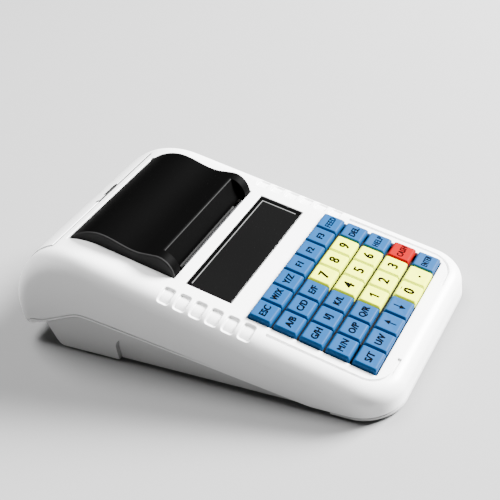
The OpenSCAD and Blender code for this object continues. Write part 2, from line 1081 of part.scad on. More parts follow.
yellow_key(5, 3);  // key_3
red_key(6, 3);  // key_cash
blue_key(0, 4);  // key_st
blue_key(1, 4);  // key_uv
blue_key(2, 4);  // key_up
blue_key(3, 4);  // key_down
yellow_key(4, 4);  // key_0
yellow_key(5, 4);  // key_point
blue_key(6, 4);  // key_enter
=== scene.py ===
import math
import bmesh
import bpy
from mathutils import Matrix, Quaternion, Vector


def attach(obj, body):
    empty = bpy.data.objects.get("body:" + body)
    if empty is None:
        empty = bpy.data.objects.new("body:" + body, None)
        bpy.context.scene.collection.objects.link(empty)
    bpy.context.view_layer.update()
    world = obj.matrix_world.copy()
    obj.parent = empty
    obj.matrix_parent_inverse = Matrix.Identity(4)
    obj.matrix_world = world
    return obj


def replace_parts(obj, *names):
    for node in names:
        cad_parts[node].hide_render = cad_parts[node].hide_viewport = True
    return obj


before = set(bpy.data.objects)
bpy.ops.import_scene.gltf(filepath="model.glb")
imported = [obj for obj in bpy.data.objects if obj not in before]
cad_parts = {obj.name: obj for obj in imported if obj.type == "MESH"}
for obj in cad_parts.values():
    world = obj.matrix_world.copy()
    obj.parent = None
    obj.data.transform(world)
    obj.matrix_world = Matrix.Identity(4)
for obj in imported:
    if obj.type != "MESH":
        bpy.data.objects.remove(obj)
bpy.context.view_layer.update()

# ---- camera ----
# It looks down on the register from the operator's left, with a slight roll.


def placed(name, data):
    """A new object in the scene, made from its data."""
    made = bpy.data.objects.new(name, data)
    bpy.context.scene.collection.objects.link(made)
    return made


eye = Vector((-0.3490, -0.24555, 0.33115))
aim = Vector((0.0023, -0.0090, 0.0400))
roll = math.radians(-10.6)
camera = placed("camera", bpy.data.cameras.new("camera"))
camera.data.lens = 70.35
camera.data.sensor_width = 36.0
camera.rotation_mode = "QUATERNION"
camera.location = eye
camera.rotation_quaternion = (aim - eye).to_track_quat("-Z", "Y") @ Quaternion((0, 0, 1), roll)
bpy.context.scene.camera = camera


# ---- floor ----
# A plain pale sweep of painted board that the register stands on, curving up far behind it.


class Sock:
    """One socket of a material's nodes, with the usual arithmetic written as operators."""

    def __init__(self, tree, socket=None):
        self.tree = tree
        self.socket = socket

    def node(self, kind, out=0, settings=None, **inputs):
        made = self.tree.nodes.new(kind)
        for name, value in (settings or {}).items():
            setattr(made, name, value)
        for name, value in inputs.items():
            key = int(name[1:]) if name[0] == "i" and name[1:].isdigit() else name.replace("_", " ")
            if isinstance(value, Sock):
                self.tree.links.new(value.socket, made.inputs[key])
            else:
                made.inputs[key].default_value = value
        return Sock(self.tree, made.outputs[out])

    def maths(self, operation, a, b=0.0, clamp=False):
        return self.node("ShaderNodeMath", 0, {"operation": operation, "use_clamp": clamp}, i0=a, i1=b)

    def __add__(self, other):
        return self.maths("ADD", self, other)

    __radd__ = __add__

    def __sub__(self, other):
        return self.maths("SUBTRACT", self, other)

    def __rsub__(self, other):
        return self.maths("SUBTRACT", other, self)

    def __mul__(self, other):
        return self.maths("MULTIPLY", self, other)

    __rmul__ = __mul__

    def clamped(self):
        return self.maths("ADD", self, 0.0, clamp=True)

    def mix(self, a, b):
        """Colour a where this is 0 and colour b where it is 1."""
        return self.node("ShaderNodeMix", 2, {"data_type": "RGBA"}, i0=self, i6=a, i7=b)

    def noise(self, scale, detail):
        """Grey noise over the places in this socket."""
        return self.node("ShaderNodeTexNoise", 0, None, Vector=self, Scale=scale, Detail=detail)


class Finish:
    """A material worked out from the place on the piece; fixed holds the shader's constants."""

    def __init__(self, name, **fixed):
        self.made = bpy.data.materials.new(name)
        self.made.use_nodes = True
        self.shader = self.made.node_tree.nodes["Principled BSDF"]
        for socket, value in fixed.items():
            self.shader.inputs[socket.replace("_", " ")].default_value = value
        self.place = Sock(self.made.node_tree).node("ShaderNodeTexCoord", 3)

    def laid(self, colour, gloss, height, bump, depth):
        """Links colour, roughness and relief, and gives the material back."""
        relief = height.node("ShaderNodeBump", 0, None, Strength=bump, Distance=depth, Height=height)
        for source, socket in ((colour, "Base Color"), (gloss, "Roughness"), (relief, "Normal")):
            self.made.node_tree.links.new(source.socket, self.shader.inputs[socket])
        return self.made


def tone(level, warmth=0.0):
    """A near-neutral colour of the given linear level; warmth above 0 leans to yellow."""
    return (level * (1 + warmth), level, level * (1 - 2 * warmth), 1.0)


def dimmed(colour, red, green, blue):
    """The colour with each of its parts taken down to a share."""
    return (colour[0] * red, colour[1] * green, colour[2] * blue, 1.0)


def plastic(name, colour, rough, grain=2600.0, bump=0.04, spread=0.04, shade=0.94, **fixed):
    """A moulded plastic: fine spark-eroded grain, slow drift of tone and gloss over the surface."""
    finish = Finish(name, **fixed)
    drift = finish.place.noise(28.0, 3.0)
    fine = finish.place.noise(grain, 2.0)
    paint = drift.mix(dimmed(colour, shade, shade, shade), colour)
    gloss = rough + (drift - 0.5) * (2 * spread) + (fine - 0.5) * spread
    return finish.laid(paint, gloss.clamped(), fine, bump, 0.0002)


def polar(r, angle):
    """Both parts of a length r that points at an angle in degrees."""
    return r * math.cos(math.radians(angle)), r * math.sin(math.radians(angle))


SIDES = 48
sweep = [(3.0, 0.0), (3.25, 0.03), (3.5, 0.12), (3.75, 0.28), (3.95, 0.5), (4.1, 0.78), (4.18, 1.1),
         (4.2, 1.5), (4.2, 2.8)]
floor_mesh = bpy.data.meshes.new("floor")
floor_points = [(*polar(r, 360 * k / SIDES), z) for r, z in sweep for k in range(SIDES)]
panels = [tuple(range(SIDES))]
for first in range(0, SIDES * (len(sweep) - 1), SIDES):
    for k in range(SIDES):
        near, far = first + k, first + (k + 1) % SIDES
        panels.append((near, far, far + SIDES, near + SIDES))
floor_mesh.from_pydata(floor_points, [], panels)
for panel in floor_mesh.polygons[1:]:
    panel.use_smooth = True
floor = placed("floor", floor_mesh)
floor_mesh.materials.append(plastic("floor_paint", tone(0.2), 0.8, grain=300.0, shade=0.985))


# ---- lights ----
# Soft studio boxes: the key from the front right, a weak one behind, and a dim surround.


def softbox(name, place, size, power):
    """A square box of light that faces the register."""
    made = placed(name, bpy.data.lights.new(name, "AREA"))
    made.data.shape = "RECTANGLE"
    made.data.size, made.data.size_y = size, size
    made.data.energy = power
    made.location = place
    made.rotation_mode = "QUATERNION"
    made.rotation_quaternion = (Vector((0.0, 0.0, 0.03)) - Vector(place)).to_track_quat("-Z", "Y")


softbox("key_light", (1.38, -1.16, 1.08), 0.9, 690.0)
softbox("back_light", (0.2, 0.7, 1.6), 0.8, 75.0)
world = bpy.data.worlds.new("surround")
bpy.context.scene.world = world
world.use_nodes = True
world.node_tree.nodes["Background"].inputs["Color"].default_value = (1.0, 1.0, 1.0, 1.0)
world.node_tree.nodes["Background"].inputs["Strength"].default_value = 0.02


# ---- top housing ----
# One white ABS shell, injection moulded: a sloping deck that runs into a round back, with
# rolled shoulders. It holds the keypad opening, the display window, the printer bay, six
# finger notches on each shoulder, a fine trim line and the recess for the rear panel.

SHIFT = 0.55  # the frame's origin lies this far behind the origin of the drawing
TILT = 16
SLOPE = math.tan(math.radians(TILT))
ALONG = Vector((0.0, *polar(1.0, TILT)))
UP = Vector((0.0, -ALONG.z, ALONG.y))
RIGHT = Vector((1, 0, 0))
DECK_Y, DECK_Z = -31.0, 37.8
HALF_WIDTH, FRONT_Y = 60.5, -108.85
REAR_Y, REAR_Z, REAR_R = 64.348, 17.287, 46.0
CORNER, SHOULDER, NOSE = 21.0, 10.0, 8.0
LOW_ROLL, TAIL_ROLL, BACK_ROLL = 0.6, 2.5, 6.0
WALL, LINE, LIP = 2.4, 0.8, 0.4
SEAM_LOW, REBATE = 3.0, 2.6
TAIL_FALL, TAIL_FROM, FLOOR_FROM = -0.41, 86.0, 88.0


def deck(x, u, w=0.0):
    """A point over the deck: u along it to the rear, w above it, in millimetres."""
    return Vector((x, DECK_Y, DECK_Z)) + u * ALONG + w * UP


def deck_z(y, depth=0.0):
    """Height of the deck, or of a plane the given depth under it."""
    return DECK_Z + (y - DECK_Y) * SLOPE - depth / UP.z


def tail(y):
    """Height of the underside of the overhang behind the base."""
    return 53.2 + TAIL_FALL * y


def seam(y):
    """Height of the joint line between the housing and the base."""
    a, b = 15.2 + 0.18 * y, tail(y)
    return max(SEAM_LOW, (a + b) / 2 - math.sqrt(((a - b) / 2) ** 2 + 1))


def turn(a, b, t):
    """The direction a share t of the way round from a to b."""
    angle = a.angle(b)
    return (math.sin((1 - t) * angle) * a + math.sin(t * angle) * b) / math.sin(angle)


def steps(a, b, n):
    return [a + (b - a) * k / n for k in range(n + 1)]


def arc(cx, cy, r, angles):
    """Points of a round stretch, at angles in degrees."""
    return [(cx + x, cy + y) for x, y in (polar(r, a) for a in angles)]


def heading(path, k):
    """The direction in which a path runs at its point k."""
    (ax, ay), (bx, by) = path[max(k - 1, 0)], path[min(k + 1, len(path) - 1)]
    length = math.hypot(bx - ax, by - ay)
    return (bx - ax) / length, (by - ay) / length


def ease(t):
    t = min(max(t, 0.0), 1.0)
    return t * t * (3 - 2 * t)


class Shape:
    """A mesh put together from rows of points in the drawing's millimetres."""

    def __init__(self):
        self.bm = bmesh.new()

    def row(self, points):
        return [self.bm.verts.new((p[0] / 1000, (p[1] - SHIFT) / 1000, p[2] / 1000)) for p in points]

    def face(self, corners, paint=0):
        self.bm.faces.new(corners).material_index = paint

    def strip(self, a, b, closed=False, paint=0):
        for k in range(len(a) if closed else len(a) - 1):
            n = (k + 1) % len(a)
            self.face((a[k], a[n], b[n], b[k]), paint)

    def rows(self, rows, closed=False, paint=0):
        for a, b in zip(rows, rows[1:]):
            self.strip(a, b, closed, paint)

    def solid(self, rings, paint=0):
        """The skin through closed rings, with a flat face at each end."""
        self.rows(rings, closed=True, paint=paint)
        self.face(rings[0], paint)
        self.face(rings[-1], paint)

    def ladder(self, loop):
        """Closes a loop whose two halves mirror each other, with a face from point to point."""
        for k in range(len(loop) // 2 - 1):
            self.face((loop[k], loop[k + 1], loop[-2 - k], loop[-1 - k]))

    def done(self, name, *paints, crease=36.0):
        bmesh.ops.remove_doubles(self.bm, verts=self.bm.verts, dist=4e-6)
        bmesh.ops.dissolve_degenerate(self.bm, dist=1e-6, edges=self.bm.edges)
        bmesh.ops.recalc_face_normals(self.bm, faces=self.bm.faces)
        for f in self.bm.faces:
            f.smooth = True
        for e in self.bm.edges:
            if len(e.link_faces) == 2:
                e.smooth = e.calc_face_angle(0.0) < math.radians(crease)
        mesh = bpy.data.meshes.new(name)
        self.bm.to_mesh(mesh)
        self.bm.free()
        for paint in paints:
            mesh.materials.append(paint)
        return placed(name, mesh)


def settle(obj):
    """Applies the modifiers of obj to its mesh."""
    graph = bpy.context.evaluated_depsgraph_get()
    solved = bpy.data.meshes.new_from_object(obj.evaluated_get(graph))
    obj.modifiers.clear()
    obj.data = solved


def weighted(obj, crease=40.0):
    """Normals that follow the large faces, so that flats stay flat up to their rolled edges."""
    bm = bmesh.new()
    bm.from_mesh(obj.data)
    for e in bm.edges:
        e.smooth = len(e.link_faces) == 2 and e.calc_face_angle(0.0) < math.radians(crease)
    bm.to_mesh(obj.data)
    bm.free()
    even = obj.modifiers.new("even", "WEIGHTED_NORMAL")
    even.keep_sharp = True
    even.weight = 100
    settle(obj)


def carve(obj, shape, operation="DIFFERENCE"):
    """Cuts a shape out of obj, or joins it on."""
    tool = shape.done("tool", obj.data.materials[0])
    step = obj.modifiers.new("step", "BOOLEAN")
    step.object = tool
    step.operation = operation
    step.solver = "EXACT"
    settle(obj)
    bpy.data.objects.remove(tool)


class Station:
    """One place on the rim of the housing, with the section of its shoulder and side."""

    def __init__(self, centre, out, top, radius, low_roll=LOW_ROLL, line=0.0):
        self.centre, self.out, self.top, self.radius = centre, out, top, radius
        self.low_roll, self.line = low_roll, line
        self.start = centre + radius * out

    def shoulder(self, depth):
        reach = self.radius - depth
        return [self.centre + reach * turn(self.top, self.out, t) for t in steps(0, 1, 12)]

    def side(self):
        """Points down the outside, from the shoulder to the end of the lower roll."""
        hub = self.start - self.low_roll * self.out
        if hub.y > TAIL_FROM:
            grade, low = TAIL_FALL, tail(hub.y)
        else:
            grade, low = seam(hub.y + 0.5) - seam(hub.y - 0.5), seam(hub.y)
        hub.z = low + self.low_roll * math.hypot(1, grade)
        down = Vector((0, grade, -1)).normalized()
        fall = self.start.z - hub.z
        squeeze = min(1.0, fall / 4.0)
        points = [self.start - Vector((0, 0, fall * share)) for share in (0.0, 0.3, 0.62)]
        for lift, depth in ((1.75, 0), (1.6, 1), (0.85, 1), (0.7, 0)):
            p = Vector((self.start.x, self.start.y, hub.z + lift * squeeze))
            points.append(p - depth * self.line * self.out)
        return points + [hub + self.low_roll * turn(self.out, down, t) for t in steps(0, 1, 5)]

    def inside(self, closed_below):
        start = self.centre + (self.radius - WALL) * self.out
        low = tail(start.y) if start.y > TAIL_FROM else seam(start.y)
        rows = [start, Vector((start.x, start.y, low + REBATE))]
        return rows if closed_below else rows + [Vector((start.x, start.y, low))]


def around(angle, r, x):
    """A point on the round back: angle up from the rear, r from its axis."""
    y, z = polar(r, angle)
    return Vector((x, REAR_Y + y, REAR_Z + z))


def flip(p):
    return Vector((-p.x, p.y, p.z))


def both(side):
    """A run of points on the right, then its mirror image on the left, back to the start."""
    return side + [flip(p) for p in reversed(side)]


def patch(shape, r, x, top, low, grow, n):
    """The edge of a curved rectangle on the round back, grown by a little all round."""
    spill = math.degrees(grow / REAR_R)
    return shape.row(both([around(a, r, x + grow) for a in steps(top + spill, low - spill, n)]))


DECK_END = 90 + TILT
BAY_X, BAY_FRONT, BAY_REAR = 41.7, 9.95, 73.8
PANEL_X, PANEL_TOP, PANEL_LOW = 48.3, 72.4, 27.6
KEYPAD, WINDOW = (45.7, -68.9, -0.2), (41.45, 10.2, 36.3)
bay_turn = math.degrees(math.acos((BAY_REAR + LIP - REAR_Y) / REAR_R))
panel_lip = math.degrees(LIP / REAR_R)
turns = steps(DECK_END, bay_turn, 9) + steps(bay_turn, PANEL_TOP + panel_lip, 3)[1:]
turns += steps(PANEL_TOP + panel_lip, PANEL_LOW - panel_lip, 14)[1:]
turns += steps(PANEL_LOW - panel_lip, 0, 7)[1:]


def line_depth(y):
    """Depth of the shadow line over the seam, which fades in from the front."""
    return LINE * ease((y + 40) / 90)


def right_stations():
    """The rim from the middle of the front, round the right side, to the middle of the back."""
    found = []
    edge_x = HALF_WIDTH - SHOULDER
    nose_y = FRONT_Y + NOSE
    for x in steps(0, HALF_WIDTH - CORNER, 4):
        found.append(Station(Vector((x, nose_y, deck_z(nose_y, NOSE))), Vector((0, -1, 0)), UP, NOSE))
    for a in steps(-90, 0, 20)[1:]:
        out = Vector((*polar(1.0, a), 0))
        r = NOSE + (SHOULDER - NOSE) * ease((a + 90) / 90)
        hub = Vector((HALF_WIDTH - CORNER, FRONT_Y + CORNER, 0)) + (CORNER - r) * out
        hub.z = deck_z(hub.y, r)
        found.append(Station(hub, out, UP, r))
    for y in steps(FRONT_Y + CORNER, around(DECK_END, REAR_R - SHOULDER, 0).y, 44)[1:-1]:
        hub = Vector((edge_x, y, deck_z(y, SHOULDER)))
        found.append(Station(hub, RIGHT, UP, SHOULDER, line=line_depth(y)))
    for a in turns:
        hub = around(a, REAR_R - SHOULDER, edge_x)
        low_roll = LOW_ROLL + (TAIL_ROLL - LOW_ROLL) * ease((hub.y - 90) / 10.5)
        found.append(Station(hub, RIGHT, Vector((0, *polar(1.0, a))), SHOULDER, low_roll, line_depth(hub.y)))
    corner = around(0, REAR_R - SHOULDER, edge_x)
    for a in steps(0, 90, 12)[1:]:
        low_roll = TAIL_ROLL + (BACK_ROLL - TAIL_ROLL) * ease(a / 90)
        out = Vector((*polar(1.0, a), 0))
        found.append(Station(corner, out, None, SHOULDER, low_roll, LINE * ease(1 - a / 60)))
    for x in steps(edge_x, 0, 4)[1:]:
        found.append(Station(Vector((x, corner.y, corner.z)), Vector((0, 1, 0)), None, SHOULDER, BACK_ROLL))
    return found


stations = right_stations()
shell = Shape()


def fill(loops):
    """Fills the flat region between closed loops of vertices."""
    edges = []
    for loop in loops:
        for a, b in zip(loop, loop[1:] + loop[:1]):
            edges.append(shell.bm.edges.get((a, b)) or shell.bm.edges.new((a, b)))
    bmesh.ops.triangle_fill(shell.bm, use_beauty=True, use_dissolve=False, edges=edges)


def rectangle(x, low, high, r, grow=0.0, n=4):
    """A rectangle of half width x between two u values, with corners of radius r."""
    points = []
    corners = ((x - r, low + r), (x - r, high - r), (r - x, high - r), (r - x, low + r))
    for k, (cx, cy) in enumerate(corners):
        points += arc(cx, cy, r + grow, steps(90 * k - 90, 90 * k, n))
    return points


def opening(size, grow, depth):
    """The edge of an opening in the deck, at a depth under it."""
    return shell.row([deck(x, u, -depth) for x, u in rectangle(*size, 0.5, grow)])


def surface_z(y, depth=0.0):
    """Height of the deck, or of the round back behind it, in a vertical cut."""
    if y <= REAR_Y - polar(REAR_R, TILT)[1] + 1e-6:
        return deck_z(y, depth)
    return REAR_Z + math.sqrt((REAR_R - depth) ** 2 - (y - REAR_Y) ** 2)


def build_skin(depth):
    """One skin of the shell: the outside at depth 0, or the inside at the wall's thickness."""
    for keep in (lambda p: p, flip):
        shell.rows([shell.row([keep(p) for p in s.shoulder(depth)]) for s in stations if s.top])
        if depth == 0:
            shell.rows([shell.row([keep(p) for p in s.side()]) for s in stations])
            rim = [s for s in stations if s.start.y <= FLOOR_FROM]
            shell.rows([shell.row([keep(s.side()[-1]), keep(s.inside(False)[-1])]) for s in rim])
            continue
        for a, b in zip(stations, stations[1:]):
            closed = b.start.y > FLOOR_FROM
            shell.rows([shell.row([keep(p) for p in s.inside(closed)]) for s in (a, b)])
    # the round back, in columns that line up with the bay and the rear recess
    lip = LIP if depth == 0 else 0.0
    lines = (HALF_WIDTH - SHOULDER, PANEL_X + LIP, BAY_X + lip)
    columns = [-x for x in lines] + list(reversed(lines))
    rows = [shell.row([around(a, REAR_R - depth, x) for x in columns]) for a in turns]
    for k in range(len(turns) - 1):
        middle = (turns[k] + turns[k + 1]) / 2
        in_panel = depth == 0 and PANEL_LOW - panel_lip < middle < PANEL_TOP + panel_lip
        for c in range(5):
            if (middle > bay_turn and c == 2) or (in_panel and 0 < c < 4):
                continue
            shell.face((rows[k][c], rows[k][c + 1], rows[k + 1][c + 1], rows[k + 1][c]))
    # the deck, round the keypad opening, the window and the bay
    outline = [s.shoulder(depth)[0] for s in stations if s.top is UP]
    outline += [around(DECK_END, REAR_R - depth, x) for x in lines]
    outline.append(Vector((BAY_X + lip, BAY_FRONT - lip, surface_z(BAY_FRONT - lip, depth))))
    loops = [shell.row(both(outline)[:-1])]
    fill(loops + [opening(size, lip, depth) for size in (KEYPAD, WINDOW)])


build_skin(0.0)
build_skin(WALL)

# rolled lips and the walls of the openings
quarter = [(LIP - y, LIP - x) for x, y in (polar(LIP, a) for a in steps(0, 90, 4))]
for size in (KEYPAD, WINDOW):
    lip_rows = [opening(size, grow, drop) for grow, drop in quarter]
    shell.rows(lip_rows + [opening(size, 0.0, WALL)], closed=True)


def bay_loop(grow, drop, depth=0.0):
    """The edge of the bay: down each side in the steps of the deck and the round back."""
    ys = [BAY_FRONT - grow, around(DECK_END, REAR_R - depth, 0).y]
    ys += [around(a, REAR_R - depth, 0).y for a in turns[1:] if a > bay_turn + 0.01]
    ys.append(around(bay_turn, REAR_R, 0).y if grow == LIP else BAY_REAR + grow)
    return shell.row(both([Vector((BAY_X + grow, y, surface_z(y, depth) - drop)) for y in ys]))


shell.rows([bay_loop(grow, drop) for grow, drop in quarter] + [bay_loop(0.0, 0.0, WALL)], closed=True)

# the recess for the rear panel
RECESS_R = 45.0
recess = [(grow, REAR_R - drop) for grow, drop in quarter] + [(0.0, RECESS_R + 0.15), (-0.12, RECESS_R)]
loops = [patch(shell, r, PANEL_X, PANEL_TOP, PANEL_LOW, grow, 14) for grow, r in recess]
shell.rows(loops, closed=True)
shell.ladder(loops[-1])

# the floor of the overhang behind the base
behind = [s for s in stations if s.start.y > FLOOR_FROM]
before = [s for s in stations if s.start.y <= FLOOR_FROM and s.top and s.out.x == 1.0][-1]
under = [before.side()[-1]] + [s.side()[-1] for s in behind]
over = [before.inside(True)[-1]] + [s.inside(True)[-1] for s in behind]
rim_in = before.inside(False)[-1]
shell.face(shell.row([rim_in] + under + [flip(p) for p in reversed(under)][1:] + [flip(rim_in)]))
shell.face(shell.row(over + [flip(p) for p in reversed(over)][1:]))
shell.face(shell.row([rim_in, over[0], flip(over[0]), flip(rim_in)]))

white = plastic("housing_white", tone(0.7), 0.36, spread=0.05, shade=0.985, Specular_IOR_Level=0.4)
housing = shell.done("housing_shell", white)

# the finger notches: shallow rounded pockets over the shoulder, each with a soft lip
NOTCHES, NOTCH_PITCH, FIRST_NOTCH = 6, 8.96, 40.1
NOTCH_ACROSS, NOTCH_LONG, NOTCH_WIDE, NOTCH_ROUND = 2.75, 4.85, 3.2, 1.5
NOTCH_LIP, NOTCH_DEPTH = 0.6, 1.6


def shoulder_point(v, u, w):
    """v runs out over the shoulder from the edge of the flat deck, w is height over the skin."""
    hub = deck(HALF_WIDTH - SHOULDER, u, -SHOULDER)
    if v <= 0:
        return hub + Vector((v, 0, 0)) + (SHOULDER + w) * UP
    return hub + (SHOULDER + w) * turn(UP, RIGHT, v / (SHOULDER * math.pi / 2))


def notch_outline(grow):
    """Half of a rounded rectangle, from one end to the other."""
    long, wide, r = NOTCH_LONG + grow, NOTCH_WIDE + grow, NOTCH_ROUND + grow
    points = arc(r - long, wide - r, r, steps(180, 90, 5))
    points += [(v, wide) for v in steps(r - long, long - r, 8)[1:-1]]
    return points + arc(long - r, wide - r, r, steps(90, 0, 5))


profile = [(NOTCH_LIP, 0.7), (NOTCH_LIP, 0.02)]
profile += [(NOTCH_LIP - y, x - NOTCH_LIP) for x, y in (polar(NOTCH_LIP, a) for a in (20, 45, 68, 90))]
profile += [(-0.03, -1.0), (-0.2, -1.38), (-0.55, -NOTCH_DEPTH)]

# the trim line: a fine groove beside the keypad and round its front corner, with bulbous ends
TRIM_X, TRIM_U, TRIM_R = 50.6, -74.5, 12.0
TRIM_REAR, TRIM_FRONT, BEAD = -13.5, 29.5, 0.35
path = [(TRIM_X, TRIM_REAR - BEAD * k) for k in range(6)] + [(TRIM_X, TRIM_U + TRIM_R)]
path += arc(TRIM_X - TRIM_R, TRIM_U + TRIM_R, TRIM_R, steps(0, -90, 16)[1:])
path += [(TRIM_FRONT + BEAD * k, TRIM_U) for k in range(5, -1, -1)]
half_section = [(-0.7, 0.5), (-0.7, 0.02), (-0.6, -0.6), (-0.35, -1.0)]
section = half_section + [(-o, w) for o, w in reversed(half_section)]
bulb = [0.45, 0.8, 1.0, 1.05, 1.0, 0.8]

cutter = Shape()
for mirror in (1, -1):
    for k in range(NOTCHES):
        middle = FIRST_NOTCH - NOTCH_PITCH * k
        loops = []
        for grow, w in profile:
            half = notch_outline(grow)
            places = [(v, middle + u) for v, u in half] + [(v, middle - u) for v, u in reversed(half)]
            points = [shoulder_point(NOTCH_ACROSS + v, u, w) for v, u in places]
            loops.append(cutter.row([Vector((mirror * p.x, p.y, p.z)) for p in points]))
        cutter.rows(loops, closed=True)
        cutter.ladder(loops[0])
        cutter.ladder(loops[-1])
    loops = []
    for k, (x, u) in enumerate(path):
        from_end = min(k, len(path) - 1 - k)
        wide = 1 + 0.5 * (bulb[from_end] if from_end < len(bulb) else 0)
        ahead_x, ahead_u = heading(path, k)
        across = [(x + o * wide * ahead_u, u - o * wide * ahead_x, w) for o, w in section]
        loops.append(cutter.row([deck(mirror * px, pu, w) for px, pu, w in across]))
    cutter.solid(loops)
carve(housing, cutter)
weighted(housing, 30.0)
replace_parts(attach(housing, "housing"), "top_housing")

# ---- printer cover ----
# One black ABS moulding, satin on top: a wavy lid over the paper roll with a cheek at each
# end of its front edge and a sloping face between them. It turns on the pin in its rear barrel.

COVER_X, CHEEK_X, CAVITY_X = 41.3, 34.8, 39.1
HINGE = Vector((0, 70.2, 60.3))
PLATEN = Vector((0, 18.0, 43.6))
BROW_Y, BROW_Z, BROW_LONG, BROW_HIGH = 19.3, 50.6, 9.3, 10.4
DIP_Y, HUMP_Y, DIP_Z, HUMP_Z, HUMP_FALL = 27.0, 54.0, 61.0, 68.7, 0.0187
EAR_X, GEAR_ROOM_X, GEAR_ROOM_R = 41.25, 34.0, 6.3
BARREL_R, PIN_BORE, SKIN = 2.9, 1.56, 2.2


def lid_z(y):
    """Height of the top of the cover."""
    if y < BROW_Y:
        return BROW_Z + BROW_HIGH * math.sqrt(max(0.0, 1 - ((BROW_Y - y) / BROW_LONG) ** 2))
    if y < DIP_Y:
        return DIP_Z
    if y < HUMP_Y:
        return DIP_Z + (HUMP_Z - DIP_Z) * (0.5 - 0.5 * math.cos(math.pi * (y - DIP_Y) / (HUMP_Y - DIP_Y)))
    return HUMP_Z - HUMP_FALL * (y - HUMP_Y) ** 2


cheek = [(10.0, 46.44), (10.0, 48.5)]
brow = [polar(1.0, a) for a in steps(0, 78.84, 14)]
cheek += [(BROW_Y - BROW_LONG * c, BROW_Z + BROW_HIGH * s) for c, s in brow]
slope = [(13.4, 48.8), (13.45, 49.6)]
slope += [(13.5 + 3.4 * t, 50.5 + 9.55 * t) for t in steps(0, 1, 10)]
slope += [(16.97, 60.32), (17.1, 60.52), (17.28, 60.66), (17.5, lid_z(17.5))]
top_ys = [18.1, 18.7, 19.3, 20.6, 22.0, 23.5, 25.0, 26.2]
top_ys += steps(DIP_Y, HUMP_Y, 30) + steps(HUMP_Y, 68.8, 11)[1:]
top = [(y, lid_z(y)) for y in top_ys]
blend = [(90, 3.5), (75, 3.3), (60, 3.1), (45, 2.95)]
blend += [(a, BARREL_R) for a in (30, 10, -10, -30, -50, -70, -90, -115, -140, -158)]
barrel = [arc(HINGE.y, HINGE.z, r, [a])[0] for a, r in blend]
back = [(66.0, 59.68), (58.0, 59.68), (44.0, 55.66), (30.0, 51.65), (19.06, 48.8)]
end_outline = cheek + top + barrel + back
mid_outline = slope + top + barrel + back


def inset(loop, amounts):
    """Moves each point of a (y, z) outline inward by its own amount."""
    moved = []
    for k, (y, z) in enumerate(loop):
        (ya, za), (yb, zb) = loop[k - 1], loop[(k + 1) % len(loop)]
        length = math.hypot(yb - ya, zb - za)
        moved.append((y + amounts[k] * (zb - za) / length, z - amounts[k] * (yb - ya) / length))
    return moved


def slab(shape, sections):
    """A solid through outlines at several x, each given as (x, outline)."""
    shape.solid([shape.row([Vector((x, y, z)) for y, z in loop]) for x, loop in sections])


def circle(centre, r, n):
    """A round outline in (y, z) about a centre."""
    return arc(centre.y, centre.z, r, steps(0, 360, n)[:-1])


# the ends are rolled along the cheek, the top and the start of the barrel
OUTER_ROLL, INNER_ROLL = 0.9, 0.5
rolled_points = len(cheek) + len(top) + 5
edge = [1.0 if k < rolled_points else 0.0 for k in range(len(end_outline))]
edge[0] = 0.35
near_slope = [min(1.0, (len(cheek) - 1 - k) / 4) if k < len(cheek) else 0.0 for k in range(len(end_outline))]
end = []
for a in steps(0, 90, 6):
    c, s = polar(1.0, a)
    end.append((COVER_X - OUTER_ROLL * (1 - c), inset(end_outline, [OUTER_ROLL * (1 - s) * e for e in edge])))
for a in steps(0, 90, 4):
    c, s = polar(1.0, a)
    amounts = [INNER_ROLL * (1 - c) * e for e in near_slope]
    end.append((CHEEK_X + INNER_ROLL * (1 - s), inset(end_outline, amounts)))
end.append((CHEEK_X, mid_outline))
lid = Shape()
slab(lid, end + [(-x, loop) for x, loop in reversed(end)])
cover_grain = {"grain": 1800.0, "spread": 0.05, "shade": 0.8}
black = plastic("cover_black", tone(0.0005), 0.56, bump=0.04, Specular_IOR_Level=0.007, **cover_grain)
# The ends take a lighter black that paints in their sheen, and the rim a touch lighter black, a painted
# highlight along the top edge of the sloping face.
ends_sheen_black = plastic("cover_ends_painted_sheen", tone(0.014), 0.6, bump=0.08, Specular_IOR_Level=0.05, **cover_grain)
rim = plastic("cover_rim_painted_highlight", tone(0.0008), 0.5, bump=0.04, Specular_IOR_Level=0.03, **cover_grain)
cover = lid.done("cover_shell", black, ends_sheen_black, rim, crease=30)

# the cavity over the roll, the ears that carry the platen, and the bores
room = [(15.9, 40.0), (15.9, 50.0), (18.4, 57.4), (19.6, 58.6)]
room += [(y, lid_z(y) - SKIN) for y in steps(20.5, 66.6, 40)] + [(66.6, 40.0)]
ease_in = [0.0, 0.6, 0.9] + [1.0] * (len(room) - 4) + [0.0]
sections = []
for x, depth in ((38.2, 0.0), (38.8, 0.25), (CAVITY_X, 0.8)):
    sections.append((x, inset(room, [e * depth for e in ease_in])))
hollow = Shape()
slab(hollow, [(-x, loop) for x, loop in reversed(sections)] + sections)
carve(cover, hollow)
arm = arc(PLATEN.y, PLATEN.z, 4, steps(-180, 0, 16)) + [(26.0, 54.0), (12.6, 52.0)]
ears = Shape()
for s in (1, -1):
    slab(ears, [(s * CAVITY_X, arm), (s * EAR_X, arm)])
carve(cover, ears, "UNION")
bores = Shape()
for centre in (HINGE, PLATEN):
    slab(bores, [(x, circle(centre, PIN_BORE, 24)) for x in (-50, 50)])
carve(cover, bores)
gear_room = Shape()
slab(gear_room, [(x, circle(PLATEN, GEAR_ROOM_R, 48)) for x in (GEAR_ROOM_X, 38.2)])
carve(cover, gear_room)


def drawn(place):
    """A place in the frame, in the drawing's millimetres."""
    return place.x * 1000, place.y * 1000 + SHIFT, place.z * 1000


